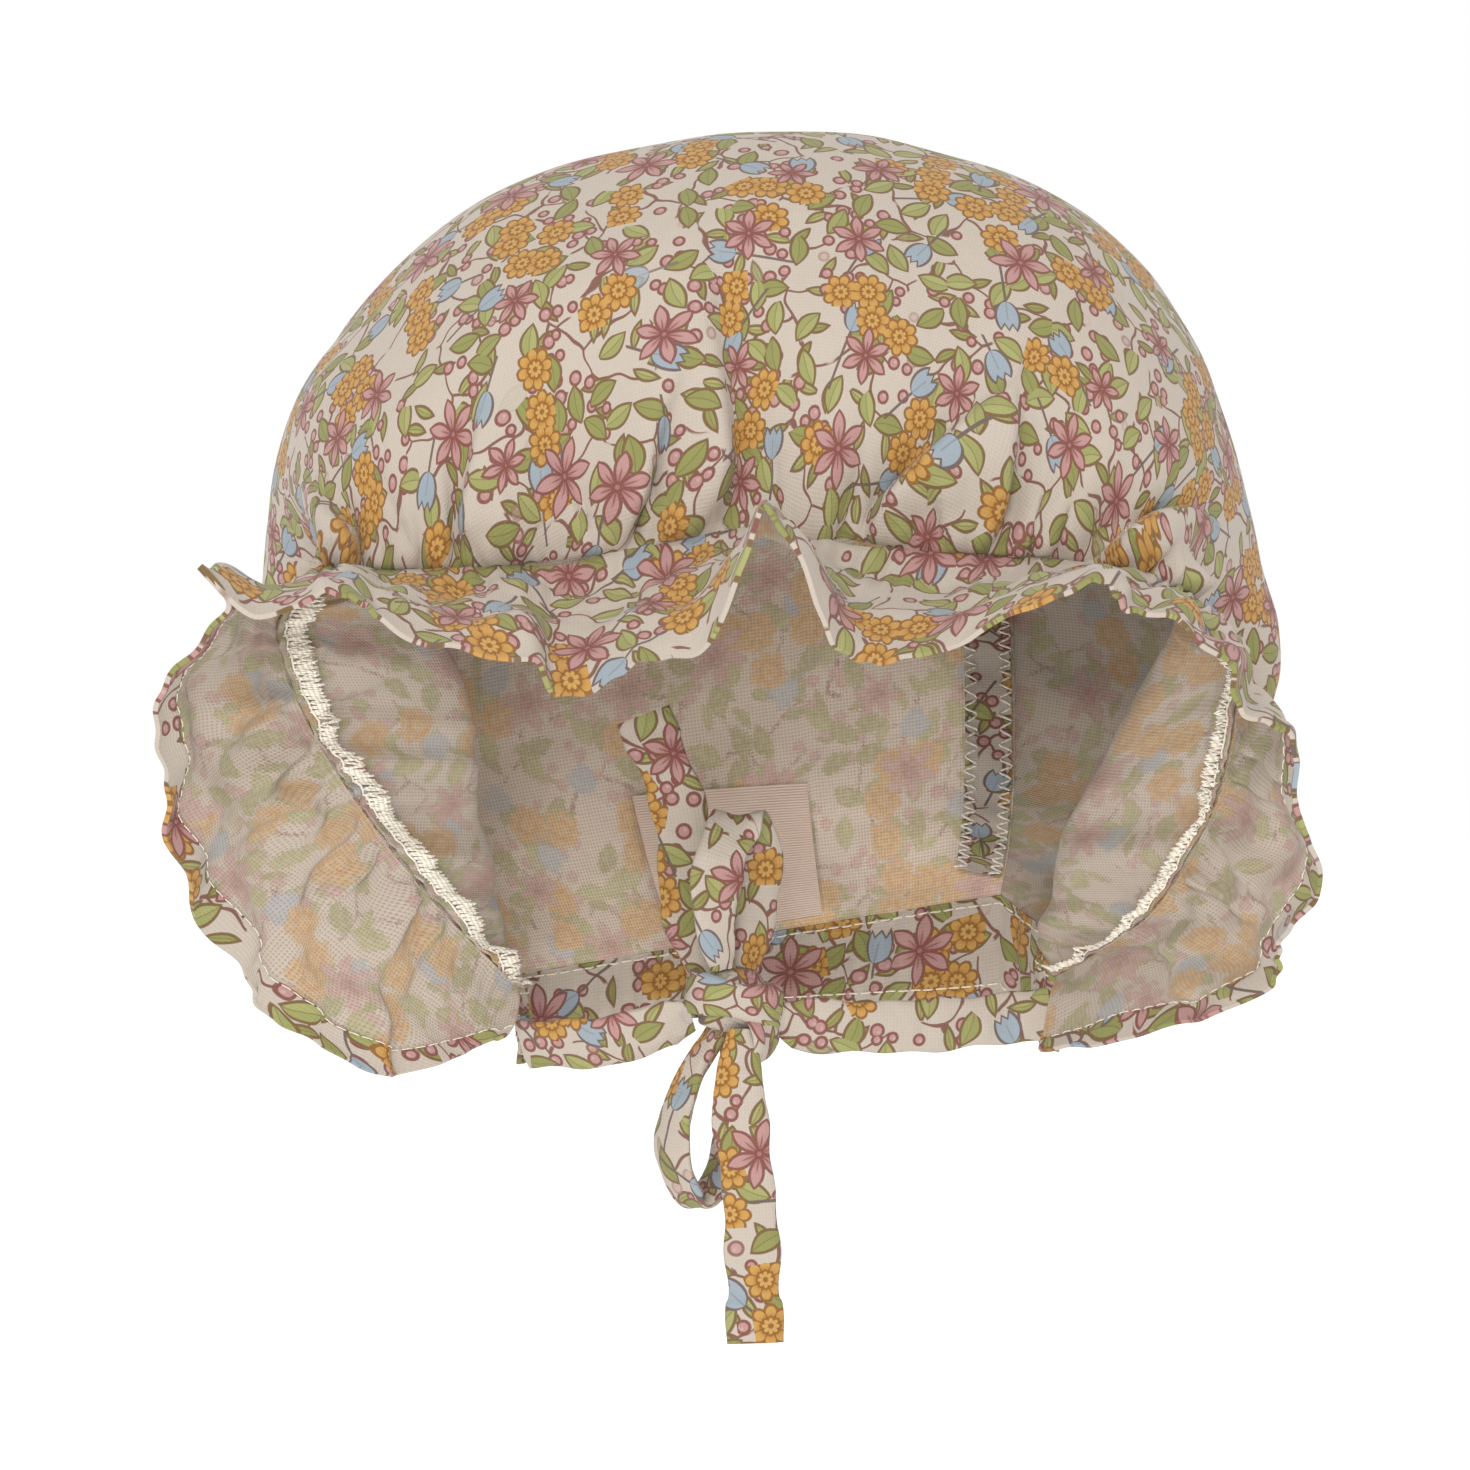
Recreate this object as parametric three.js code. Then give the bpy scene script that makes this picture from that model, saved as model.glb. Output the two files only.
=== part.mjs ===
// A baby's sun bonnet of thin printed cotton, open at the face and closed by two ties in a bow.
// Millimetres, +Z up. The origin is the top of the head inside the crown, and the face looks along -Y.
import * as THREE from "three";

// Driving dimensions of the crown
const crownWidth = 190; // across the crown at its widest level
const domeHeight = 89; // from the widest level up to the top of the crown
const sideHeight = 73; // from the widest level down to the top of the neck casing
const faceDepth = 58; // from the widest section forward to the gather seam
const napeDepth = 46; // from the widest section back to the back seam
const panelBulge = 7; // how far the back panel swells past its seam
const hemBulge = 9; // how far the casing swells back between the two back seams

// Driving dimensions of the brim, the casing, the seams and the label
const brimWidth = 38; // from the gather seam to the brim's free edge
const brimCurl = 3; // how far the brim bows outwards between its two edges
const gatherDepth = 1.3; // height of the small gathers beside the gather seam
const gatherReach = 16; // how far the gathers run into the crown
const gatherCount = 21; // small gathers along the whole gather seam
const rippleDepth = 1.4; // height of the brim's own ripples at its free edge
const casingHeight = 13;
const brimAllowance = 7; // width of the overlocked edge inside the gather seam
const backAllowance = 9; // width of the overlocked edge inside the back seam
const labelWidth = 29;
const labelHeight = 30;

// Driving dimensions of the ties and their bow
const tieWidth = 10;
const tieGathered = 5.5; // width of a tie where the knot squeezes it
const knotWidth = 16;
const knotHeight = 13;
const knotDepth = 12;
const knotForward = 40; // from the widest section forward to the middle of the knot
const upperLoop = 27; // reach of the loop that stands above the knot
const lowerLoop = 31; // reach of the loop that hangs below it
const shortTail = 47; // reach of the end that stands above the knot
const longTail = 57; // reach of the end that hangs below it

// Thicknesses and the clearance between sewn pieces
const clothWall = 1.2;
const casingWall = 1.8;
const edgeWall = 1;
const labelWall = 1;
const tieWall = 2.4;
const seamGap = 0.3;
const brimSetback = 1.1; // from the gather seam to the brim's own first row, clear of the crown's folds
const foldGap = 0.9; // clearance of the overlocked edges over the gathered cloth

// Names the columns of a table, so that each row reads as an object.
function table(columns, rows) {
  const names = columns.split(" ");
  return rows.map((row) => Object.fromEntries(names.map((name, i) => [name, row[i]])));
}

// Sections of the crown from the left corner of the face opening, over the top, to the right corner.
// across is a share of half the width; up is a share of the dome above the widest level, or of the
// side below it; deep is a share of the face depth in front, or of the nape depth behind. puff is how
// far the cloth first swells forward over the gather seam, as a share of the face depth, and dent is
// how far it is first drawn in towards the middle, as a share of half the width.
const crownSections = table(
  "at seamAcross seamUp seamDeep crestAcross crestUp backAcross backUp backDeep puff dent",
  [
    [0.0, -0.47, -1.0, -0.41, -0.46, -1.0, -0.48, -0.98, 0.72, -0.1, 0.02],
    [0.07, -0.64, -0.77, -0.53, -0.8, -0.79, -0.58, -0.73, 0.84, -0.5, 0.45],
    [0.15, -0.8, -0.49, -0.66, -0.95, -0.51, -0.66, -0.45, 0.9, -0.65, 0.72],
    [0.21, -0.9, -0.26, -0.78, -0.975, -0.25, -0.69, -0.19, 0.94, -0.7, 0.82],
    [0.26, -0.94, -0.07, -0.86, -0.98, 0.03, -0.68, 0.03, 0.97, -0.5, 0.65],
    [0.31, -0.86, 0.05, -0.92, -0.96, 0.27, -0.57, 0.21, 0.98, 0.0, 0.12],
    [0.37, -0.65, 0.06, -0.97, -0.8, 0.61, -0.43, 0.36, 0.98, 0.15, 0.0],
    [0.43, -0.37, 0.08, -1.0, -0.49, 0.885, -0.23, 0.47, 0.94, 0.19, 0.0],
    [0.5, -0.02, 0.14, -1.03, 0.04, 1.0, 0.0, 0.52, 0.92, 0.22, 0.0],
    [0.57, 0.32, 0.1, -1.0, 0.54, 0.9, 0.21, 0.47, 0.94, 0.19, 0.0],
    [0.64, 0.61, 0.08, -0.97, 0.84, 0.62, 0.38, 0.36, 0.98, 0.15, 0.0],
    [0.7, 0.82, 0.02, -0.92, 0.965, 0.28, 0.47, 0.21, 0.98, 0.0, 0.1],
    [0.76, 0.93, -0.12, -0.85, 1.03, -0.01, 0.52, 0.03, 0.97, -0.33, 0.36],
    [0.82, 0.94, -0.36, -0.76, 1.04, -0.29, 0.53, -0.19, 0.94, -0.65, 0.6],
    [0.88, 0.88, -0.6, -0.66, 0.99, -0.58, 0.53, -0.45, 0.9, -0.65, 0.7],
    [0.94, 0.77, -0.82, -0.52, 0.82, -0.81, 0.52, -0.63, 0.84, -0.45, 0.5],
    [1.0, 0.6, -0.97, -0.38, 0.6, -0.87, 0.5, -0.77, 0.78, -0.1, 0.08],
  ],
);

// Where the brim's free edge lies beside its seam: across and drop are shares of the brim's width, and
// what they leave of that width stands forward. width is the share of the width that is there.
const brimFolds = table("at across drop width", [
  [0.0, -0.05, 0.22, 0.3],
  [0.03, -0.15, 0.53, 0.6],
  [0.07, -0.27, 0.86, 0.95],
  [0.1, -0.45, 0.85, 1.0],
  [0.13, -0.63, 0.74, 1.0],
  [0.155, -0.74, 0.6, 1.0],
  [0.18, -0.68, 0.52, 1.0],
  [0.21, -0.64, 0.34, 1.0],
  [0.235, -0.5, 0.12, 1.0],
  [0.252, -0.3, 0.0, 1.0],
  [0.267, -0.18, -0.02, 1.0],
  [0.281, -0.38, -0.18, 1.0],
  [0.296, -0.18, 0.12, 1.0],
  [0.312, 0.04, 0.18, 1.0],
  [0.335, 0.06, 0.13, 1.0],
  [0.352, 0.01, 0.24, 1.0],
  [0.372, 0.06, 0.4, 1.0],
  [0.392, 0.04, 0.45, 1.0],
  [0.41, 0.1, 0.43, 1.0],
  [0.425, 0.02, 0.61, 1.0],
  [0.442, 0.08, 0.62, 1.0],
  [0.462, 0.1, 0.56, 1.0],
  [0.48, 0.12, 0.42, 1.0],
  [0.495, 0.05, 0.18, 1.0],
  [0.507, 0.0, -0.14, 1.0],
  [0.519, -0.05, 0.02, 1.0],
  [0.533, -0.09, 0.25, 1.0],
  [0.55, -0.16, 0.48, 1.0],
  [0.57, -0.2, 0.57, 1.0],
  [0.592, -0.18, 0.5, 1.0],
  [0.615, -0.15, 0.32, 1.0],
  [0.64, -0.1, 0.18, 1.0],
  [0.668, -0.1, 0.13, 1.0],
  [0.7, -0.16, 0.14, 1.0],
  [0.73, -0.1, 0.12, 1.0],
  [0.76, -0.01, 0.2, 1.0],
  [0.79, 0.16, 0.26, 1.0],
  [0.82, 0.29, 0.33, 1.0],
  [0.85, 0.4, 0.4, 1.0],
  [0.88, 0.44, 0.47, 1.0],
  [0.91, 0.42, 0.48, 1.0],
  [0.94, 0.37, 0.43, 0.95],
  [0.97, 0.2, 0.4, 0.75],
  [1.0, -0.1, 0.36, 0.5],
]);

// Deep tucks that run from the gather seam into the crown: at is the place along the seam, lean is how
// far a tuck drifts along the seam by its end, deep and reach are shares of the gathers' own sizes.
const crownTucks = table("at lean breadth deep reach", [
  [0.335, -0.01, 0.006, 1.6, 1.0],
  [0.39, 0.02, 0.007, 1.1, 1.1],
  [0.452, 0.015, 0.006, 1.5, 0.9],
  [0.492, -0.004, 0.007, 2.4, 1.5],
  [0.548, 0.03, 0.007, 1.7, 1.0],
  [0.6, -0.01, 0.006, 1.1, 1.2],
  [0.655, 0.035, 0.007, 1.9, 1.2],
  [0.71, 0.02, 0.007, 1.6, 1.0],
]);

// Depth of the casing round the neck, as a share of its height: it sags at the right back corner.
const casingDrops = table("at drop", [
  [0.0, 1.0],
  [0.3, 0.95],
  [0.5, 1.05],
  [0.7, 1.4],
  [0.85, 1.25],
  [1.0, 1.0],
]);

// A long soft fold that rises from the seam across the front of the dome, in places of the crown.
const drapeFold = { fromAt: 0.34, fromReach: 0.12, toAt: 0.56, toReach: 0.36, height: 2.2, breadth: 0.055 };

// How the small gathers and the brim's ripples crowd and spread along the seam.
const gatherWander = { waves: 3, swing: 0.35 };
const rippleWander = { waves: 4, swing: 0.3 };
const rippleCount = 19; // ripples along the whole brim
const easeIn = 4; // gathers and tucks are at full height a quarter of their reach from the seam
const tuckFade = 1.3; // how far a tuck runs before it fades, as a share of its reach

// Facets of the crown: along the gather seam, back from it, and those under the overlocked edge.
const crownColumns = 72;
const crownRows = 14;
const allowanceRows = 2;

// Facets of the other pieces, along them and across them.
const facets = {
  brim: [2 * crownColumns, 3],
  panel: [14, 14],
  casing: [44, 2],
  gatherAllowance: [crownColumns, allowanceRows],
  backAllowanceLeft: [30, 1],
  backAllowanceRight: [20, 1],
  label: [6, 6],
  tie: [14, 2],
  strap: [22, 2],
  knot: [18, 12],
};

// A table's column at any place, as one smooth line through its rows.
function follow(rows, column, at) {
  let next = 1;
  while (next < rows.length - 1 && rows[next].at < at) next += 1;
  const slope = (k) => {
    const before = rows[Math.max(k - 1, 0)];
    const after = rows[Math.min(k + 1, rows.length - 1)];
    return (after[column] - before[column]) / (after.at - before.at);
  };
  const from = rows[next - 1];
  const to = rows[next];
  const span = to.at - from.at;
  const x = (at - from.at) / span;
  const ease = x * x * (3 - 2 * x);
  const leave = x * (1 - x) * (1 - x) * span * slope(next - 1);
  const arrive = x * x * (1 - x) * span * slope(next);
  return from[column] * (1 - ease) + to[column] * ease + leave - arrive;
}

// A place given by shares of the crown's own sizes.
function place(across, up, deep) {
  const level = up * (up > 0 ? domeHeight : sideHeight);
  const depth = deep * (deep < 0 ? faceDepth : napeDepth);
  return new THREE.Vector3((across * crownWidth) / 2, depth, clothWall / 2 - domeHeight + level);
}

const column = (name, at) => follow(crownSections, name, at);
const seamPoint = (at) => place(column("seamAcross", at), column("seamUp", at), column("seamDeep", at));
const crestPoint = (at) => place(column("crestAcross", at), column("crestUp", at), 0);
const backPoint = (at) => place(column("backAcross", at), column("backUp", at), column("backDeep", at));

const roundness = 0.55; // handle length that draws a quarter round with one curve

// The crown's two curves at one section: from the gather seam to the crest, and on to the back seam.
function crownSection(at) {
  const seam = seamPoint(at);
  const crest = crestPoint(at);
  const back = backPoint(at);
  const drawnIn = (-Math.sign(seam.x) * column("dent", at) * crownWidth) / 2;
  const swell = new THREE.Vector3(
    (crest.x - seam.x) / 2 + drawnIn,
    -column("puff", at) * faceDepth,
    (crest.z - seam.z) / 2,
  ).add(seam);
  const crestFront = new THREE.Vector3(crest.x, roundness * seam.y, crest.z);
  const crestBack = new THREE.Vector3(crest.x, roundness * back.y, crest.z);
  const turnIn = new THREE.Vector3((crest.x + back.x) / 2, back.y, (crest.z + back.z) / 2);
  return {
    front: new THREE.CubicBezierCurve3(seam, swell, crestFront, crest),
    rear: new THREE.CubicBezierCurve3(crest, crestBack, turnIn, back),
  };
}

const arch = (x) => 4 * x * (1 - x); // 0 at both ends and 1 in the middle
const crestShare = 0.5; // share of a section that lies in front of the crest
const bell = (x) => Math.exp(-x * x);

// Angle of a run of waves that crowd and spread as they go.
const wavePhase = (count, wander, at) =>
  2 * Math.PI * (count * at + wander.swing * Math.sin(2 * Math.PI * wander.waves * at));

// How far the cloth stands out for its gathers, tucks and drape at a place of the crown.
function crownRelief(at, reach, sectionLength) {
  const along = reach * sectionLength;
  const fade = Math.exp(-along / gatherReach) * Math.min(1, (easeIn * along) / gatherReach);
  let relief = gatherDepth * fade * Math.cos(wavePhase(gatherCount, gatherWander, at));
  for (const tuck of crownTucks) {
    const far = along / (gatherReach * tuck.reach);
    const aside = at - tuck.at - tuck.lean * far;
    const depth = gatherDepth * tuck.deep * Math.min(1, easeIn * far) * bell(far / tuckFade);
    relief -= depth * bell(aside / tuck.breadth);
  }
  const run = (at - drapeFold.fromAt) / (drapeFold.toAt - drapeFold.fromAt);
  if (run > 0 && run < 1) {
    const middle = drapeFold.fromReach + run * (drapeFold.toReach - drapeFold.fromReach);
    const aside = (reach - middle) / drapeFold.breadth;
    relief += drapeFold.height * bell(aside) * Math.sin(Math.PI * run);
  }
  return relief;
}

// The crown band's middle surface: at runs along the gather seam, reach from that seam to the back seam.
function crownSurface(at, reach) {
  const section = crownSection(at);
  if (reach < crestShare) return section.front.getPoint(reach / crestShare);
  return section.rear.getPoint((reach - crestShare) / (1 - crestShare));
}

const sectionLength = (at) => {
  const section = crownSection(at);
  return section.front.getLength() + section.rear.getLength();
};

// Direction square to a surface at a place, measured over a step each way.
function squareTo(surface, u, v, stepU = 1e-3, stepV = 1e-3) {
  const alongU = surface(Math.min(u + stepU, 1), v).sub(surface(Math.max(u - stepU, 0), v));
  const alongV = surface(u, Math.min(v + stepV, 1)).sub(surface(u, Math.max(v - stepV, 0)));
  return alongU.cross(alongV).normalize();
}

// The crown's middle surface with its gathers, tucks and drape.
function crownCloth(at, reach) {
  const lift = crownRelief(at, reach, sectionLength(at));
  return crownSurface(at, reach).addScaledVector(squareTo(crownSurface, at, reach), lift);
}

// A place beside that cloth, as far from it as its facets ask.
function besideCrown(at, reach, offset) {
  const rowStep = brimAllowance / allowanceRows / sectionLength(at);
  const square = squareTo(crownCloth, at, reach, 1 / crownColumns, rowStep);
  return crownCloth(at, reach).addScaledVector(square, offset);
}

// The neck line from the left corner round the back to the right corner.
const neckSplit = { left: 0.3, right: 0.7 };

function backHem(share) {
  const left = backPoint(0);
  const right = backPoint(1);
  const point = left.clone().lerp(right, share);
  point.y += hemBulge * arch(share);
  return point;
}

function neckPoint(share) {
  if (share < neckSplit.left) return crownSurface(0, share / neckSplit.left);
  if (share > neckSplit.right) return crownSurface(1, (1 - share) / (1 - neckSplit.right));
  return backHem((share - neckSplit.left) / (neckSplit.right - neckSplit.left));
}

// The back panel spans four edges: the two sides and the top of the back seam, and the hem.
const panelTop = { left: 0.42, right: 0.58 };

function panelSurface(across, up) {
  const left = backPoint(panelTop.left * up);
  const right = backPoint(1 - (1 - panelTop.right) * up);
  const low = backHem(across);
  const high = backPoint(panelTop.left + (panelTop.right - panelTop.left) * across);
  const corners = [backPoint(0), backPoint(1), backPoint(panelTop.left), backPoint(panelTop.right)];
  const point = left.multiplyScalar(1 - across).addScaledVector(right, across);
  point.addScaledVector(low, 1 - up).addScaledVector(high, up);
  point.addScaledVector(corners[0], -(1 - across) * (1 - up)).addScaledVector(corners[1], -across * (1 - up));
  point.addScaledVector(corners[2], -(1 - across) * up).addScaledVector(corners[3], -across * up);
  point.y += panelBulge * arch(across) * arch(up);
  return point;
}

const mostSpread = 0.985; // the most of its own width that the brim may spread sideways and down

// The brim's middle surface: at runs along the gather seam, reach from that seam to the free edge.
function brimSurface(at, reach) {
  const across = follow(brimFolds, "across", at);
  const drop = follow(brimFolds, "drop", at);
  const width = follow(brimFolds, "width", at);
  const flat = Math.hypot(across, drop);
  const most = mostSpread * width;
  const shrink = flat > most ? most / flat : 1;
  const forward = Math.sqrt(width * width - (flat * shrink) ** 2);
  const fall = new THREE.Vector3(across * shrink, -forward, -drop * shrink).multiplyScalar(brimWidth);
  const outward = crestPoint(at).sub(seamPoint(at)).setY(0).normalize();
  const point = seamPoint(at).addScaledVector(fall, reach);
  const ripple = rippleDepth * reach * Math.sin(wavePhase(rippleCount, rippleWander, at));
  return point.addScaledVector(outward, width * (brimCurl * arch(reach) + ripple));
}

// A closed wall of even thickness about a middle surface, whose u and v run from 0 to 1.
function wallGeometry(surface, [columns, rows], thickness) {
  const grid = [];
  for (let i = 0; i <= columns; i += 1) {
    for (let j = 0; j <= rows; j += 1) grid.push(surface(i / columns, j / rows));
  }
  const index = (i, j) => i * (rows + 1) + j;
  const at = (i, j) => grid[index(i, j)];
  const clamp = (value, most) => Math.min(Math.max(value, 0), most);
  const position = [];
  for (const side of [1, -1]) {
    for (let i = 0; i <= columns; i += 1) {
      for (let j = 0; j <= rows; j += 1) {
        const alongU = at(clamp(i + 1, columns), j).clone().sub(at(clamp(i - 1, columns), j));
        const alongV = at(i, clamp(j + 1, rows)).clone().sub(at(i, clamp(j - 1, rows)));
        const normal = alongU.cross(alongV).normalize();
        const vertex = at(i, j).clone().addScaledVector(normal, (side * thickness) / 2);
        position.push(vertex.x, vertex.y, vertex.z);
      }
    }
  }
  const inner = (columns + 1) * (rows + 1);
  const faces = [];
  const quad = (a, b, c, d) => faces.push(a, b, c, a, c, d);
  for (let i = 0; i < columns; i += 1) {
    for (let j = 0; j < rows; j += 1) {
      const [a, b, c, d] = [index(i, j), index(i + 1, j), index(i + 1, j + 1), index(i, j + 1)];
      quad(a, b, c, d);
      quad(inner + d, inner + c, inner + b, inner + a);
    }
  }
  const rim = (a, b) => quad(b, a, inner + a, inner + b);
  for (let i = 0; i < columns; i += 1) {
    rim(index(i, 0), index(i + 1, 0));
    rim(index(i + 1, rows), index(i, rows));
  }
  for (let j = 0; j < rows; j += 1) {
    rim(index(0, j + 1), index(0, j));
    rim(index(columns, j), index(columns, j + 1));
  }
  const geometry = new THREE.BufferGeometry();
  geometry.setAttribute("position", new THREE.Float32BufferAttribute(position, 3));
  geometry.setIndex(faces);
  geometry.computeVertexNormals();
  return geometry;
}

const trim = (share, low, high) => low + share * (1 - low - high);

// The overlocked edge is trimmed narrower on the right: where that starts, over what stretch, and to
// what share of its full width.
const narrowFrom = 0.66;
const narrowOver = 0.125;
const narrowShare = 0.55;

function allowanceWidth(at) {
  const narrowing = Math.min(Math.max((at - narrowFrom) / narrowOver, 0), 1);
  return brimAllowance * (1 - (1 - narrowShare) * narrowing);
}

// The first rows run under the overlocked edge, and the rest spread over the crown behind it.
function crownBand() {
  const surface = (u, v) => {
    const length = sectionLength(u);
    const start = (seamGap + clothWall / 2) / length;
    const row = v * crownRows;
    const under = allowanceWidth(u) / length;
    if (row <= allowanceRows) return crownCloth(u, start + (under * row) / allowanceRows);
    const share = (row - allowanceRows) / (crownRows - allowanceRows);
    return crownCloth(u, trim(share, start + under, seamGap / length));
  };
  return wallGeometry(surface, [crownColumns, crownRows], clothWall);
}

function backPanel() {
  const side = (2 * seamGap) / backPoint(0).distanceTo(backPoint(1));
  const rise = seamGap / backPoint(0).distanceTo(backPoint(panelTop.left));
  const surface = (u, v) => panelSurface(trim(u, side, side), trim(v, rise, rise));
  return wallGeometry(surface, facets.panel, clothWall);
}

function brimRuffle() {
  const surface = (u, v) => brimSurface(u, trim(v, brimSetback / brimWidth, 0));
  return wallGeometry(surface, facets.brim, clothWall);
}

function neckCasing() {
  const surface = (u, v) => {
    const point = neckPoint(u);
    point.z -= seamGap + clothWall / 2 + v * casingHeight * follow(casingDrops, "drop", u);
    return point;
  };
  return wallGeometry(surface, facets.casing, casingWall);
}

// The overlocked edge lies against the inside of the crown, beside the gather seam.
function gatherAllowance() {
  const offset = -(clothWall / 2 + foldGap + edgeWall / 2);
  const surface = (u, v) => {
    const reach = seamGap + clothWall / 2 + v * allowanceWidth(u);
    return besideCrown(u, reach / sectionLength(u), offset);
  };
  return wallGeometry(surface, facets.gatherAllowance, edgeWall);
}

// The stretches of the back seam whose overlocked edge is turned one way.
const leftEdge = { from: 0.02, to: 0.485 };
const rightEdge = { from: 0.515, to: 0.98 };

// On the right the back seam's overlocked edge lies against the inside of the back panel.
function backAllowanceRight() {
  const surface = (u, v) => {
    const at = rightEdge.from + (rightEdge.to - rightEdge.from) * u;
    const step = 1e-3;
    const tangent = backPoint(at + step).sub(backPoint(at - step));
    const inward = new THREE.Vector3(tangent.z, 0, -tangent.x).normalize();
    const point = backPoint(at).addScaledVector(inward, seamGap + clothWall + v * backAllowance);
    point.y -= clothWall / 2 + seamGap + edgeWall / 2;
    return point;
  };
  return wallGeometry(surface, facets.backAllowanceRight, edgeWall);
}

// On the left it lies against the inside of the crown instead.
function backAllowanceLeft() {
  const offset = -(clothWall / 2 + foldGap + edgeWall / 2);
  const surface = (u, v) => {
    const at = leftEdge.from + (leftEdge.to - leftEdge.from) * u;
    const reach = seamGap + clothWall + v * backAllowance;
    return besideCrown(at, 1 - reach / sectionLength(at), offset);
  };
  return wallGeometry(surface, facets.backAllowanceLeft, edgeWall);
}

// The label is sewn on above the hem: its middle and its foot, as shares of the panel.
const labelPlace = { middle: 0.48, foot: 0.02 };

function label() {
  const panelWidth = backPoint(0).distanceTo(backPoint(1));
  const panelHeight = backPoint(0).distanceTo(backPoint(panelTop.left));
  const offset = clothWall / 2 + seamGap + labelWall / 2;
  const surface = (u, v) => {
    const across = labelPlace.middle + ((u - 0.5) * labelWidth) / panelWidth;
    const point = panelSurface(across, labelPlace.foot + (v * labelHeight) / panelHeight);
    point.y -= offset;
    return point;
  };
  return wallGeometry(surface, facets.label, labelWall);
}

// A flat cloth strap along a smooth path; broad is the way its width runs, set square to the path.
function strapGeometry(points, broad, widthAt, size) {
  const path = new THREE.CatmullRomCurve3(points);
  const surface = (u, v) => {
    const way = path.getTangent(u);
    const side = broad.clone().addScaledVector(way, -broad.dot(way)).normalize();
    return path.getPoint(u).addScaledVector(side, (v - 0.5) * widthAt(u));
  };
  return wallGeometry(surface, size, tieWall);
}

const knotAside = 4; // how far the knot sits to the left of the middle
const knotBelow = 2; // how far it hangs below the top of the casing
const knotCentre = place(0, -1, 0).add(new THREE.Vector3(-knotAside, -knotForward, -knotBelow));

// Shallow folds of the cloth wrapped round the knot.
const knotFolds = { depth: 0.07, waves: 1.5, turn: 0.4 };

// A place on the knot's skin, plus a clearance, in a direction from its middle.
function besideKnot([x, y, z], clearance) {
  const way = new THREE.Vector3(x, y, z).normalize();
  const half = new THREE.Vector3(knotWidth / 2, knotDepth / 2, knotHeight / 2);
  const radius = 1 / Math.hypot(way.x / half.x, way.y / half.y, way.z / half.z);
  return way.multiplyScalar(radius + clearance).add(knotCentre);
}

function knot() {
  const ball = new THREE.SphereGeometry(1, ...facets.knot);
  const position = ball.getAttribute("position");
  for (let i = 0; i < position.count; i += 1) {
    const [x, y, z] = [position.getX(i), position.getY(i), position.getZ(i)];
    const fold = Math.abs(Math.sin(knotFolds.waves * Math.atan2(z, x) + knotFolds.turn));
    const round = (1 - knotFolds.depth * fold * (1 - y ** 4)) / 2;
    position.setXYZ(i, x * round * knotWidth, y * round * knotDepth, z * round * knotHeight);
  }
  return ball;
}

const wideningShare = 0.28; // share of a tie's length over which it opens out from the knot
const widening = (u) => tieGathered + (tieWidth - tieGathered) * Math.min(1, u / wideningShare);
const bothEnds = (u) => widening(Math.min(u, 1 - u));
const sideways = new THREE.Vector3(1, 0, 0);

// Each tie runs from its end of the casing to its side of the knot. drop, forward and inward say where
// it starts beside its corner of the face opening, and broad is the way its width runs.
const tieStarts = {
  left: { corner: 0, side: -1, drop: 10.5, forward: 0.5, inward: 1.2, broad: [0, 0.8, -0.6] },
  right: { corner: 1, side: 1, drop: 7, forward: 1, inward: 2.2, broad: [0, 0.2, -1] },
};
const tieLeaves = -0.35; // how far down the knot's side it leaves
const tieOutset = new THREE.Vector3(5, 0, -1.5); // its first stretch, square out of the knot
const tieSag = new THREE.Vector3(0, -2, -2); // how far its middle hangs from a straight line

function sideTie({ corner, side, drop, forward, inward, broad }) {
  const start = neckPoint(corner).add(new THREE.Vector3(-side * inward, -forward, -drop));
  const end = besideKnot([side, 0, tieLeaves], 2 * seamGap);
  const outset = new THREE.Vector3(side * tieOutset.x, tieOutset.y, tieOutset.z).add(end);
  const middle = end.clone().lerp(start, 0.5).add(tieSag);
  return strapGeometry([end, outset, middle, start], new THREE.Vector3(...broad), widening, facets.tie);
}

// The bow's straps: across and deep are shares of the tie's width beside the knot's middle, and up is
// a share of the strap's own reach. Each leaves the knot one way, and a loop arrives another way.
const clearOfKnot = tieWall / 3;
const routes = {
  upperLoop: [
    [-0.35, -0.6, 0.45],
    [-0.25, -0.7, 0.8],
    [0.1, -0.25, 1],
    [0.4, 0.3, 0.82],
    [0.4, 0.4, 0.45],
  ],
  lowerLoop: [
    [-0.9, 0.1, -0.42],
    [-1.15, 0.1, -0.75],
    [-0.7, 0.2, -1],
    [-0.15, 0.35, -0.8],
    [-0.05, 0.4, -0.45],
  ],
  shortTail: [
    [-0.9, 0.6, 0.35],
    [-1, 0.7, 0.65],
    [-1.7, 0.7, 1],
  ],
  longTail: [
    [0.1, -0.65, -0.3],
    [0.3, -0.55, -0.6],
    [0.4, -0.45, -1],
  ],
};

function routePoints(route, overhang) {
  const reach = knotHeight / 2 + overhang;
  return route.map(([across, deep, up]) =>
    new THREE.Vector3(across * tieWidth, deep * tieWidth, up * reach).add(knotCentre),
  );
}

function bowLoopUpper() {
  const leave = besideKnot([-0.35, -0.45, 1], clearOfKnot);
  const arrive = besideKnot([0.35, 0.55, 1], clearOfKnot);
  const points = [leave, ...routePoints(routes.upperLoop, upperLoop), arrive];
  return strapGeometry(points, new THREE.Vector3(0.93, 0.36, 0), bothEnds, facets.strap);
}

function bowLoopLower() {
  const leave = besideKnot([-0.7, 0.1, -1], clearOfKnot);
  const arrive = besideKnot([0, 0.9, -1], 2 * clearOfKnot);
  const points = [leave, ...routePoints(routes.lowerLoop, lowerLoop), arrive];
  return strapGeometry(points, new THREE.Vector3(0.6, -0.8, 0), bothEnds, facets.strap);
}

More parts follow.
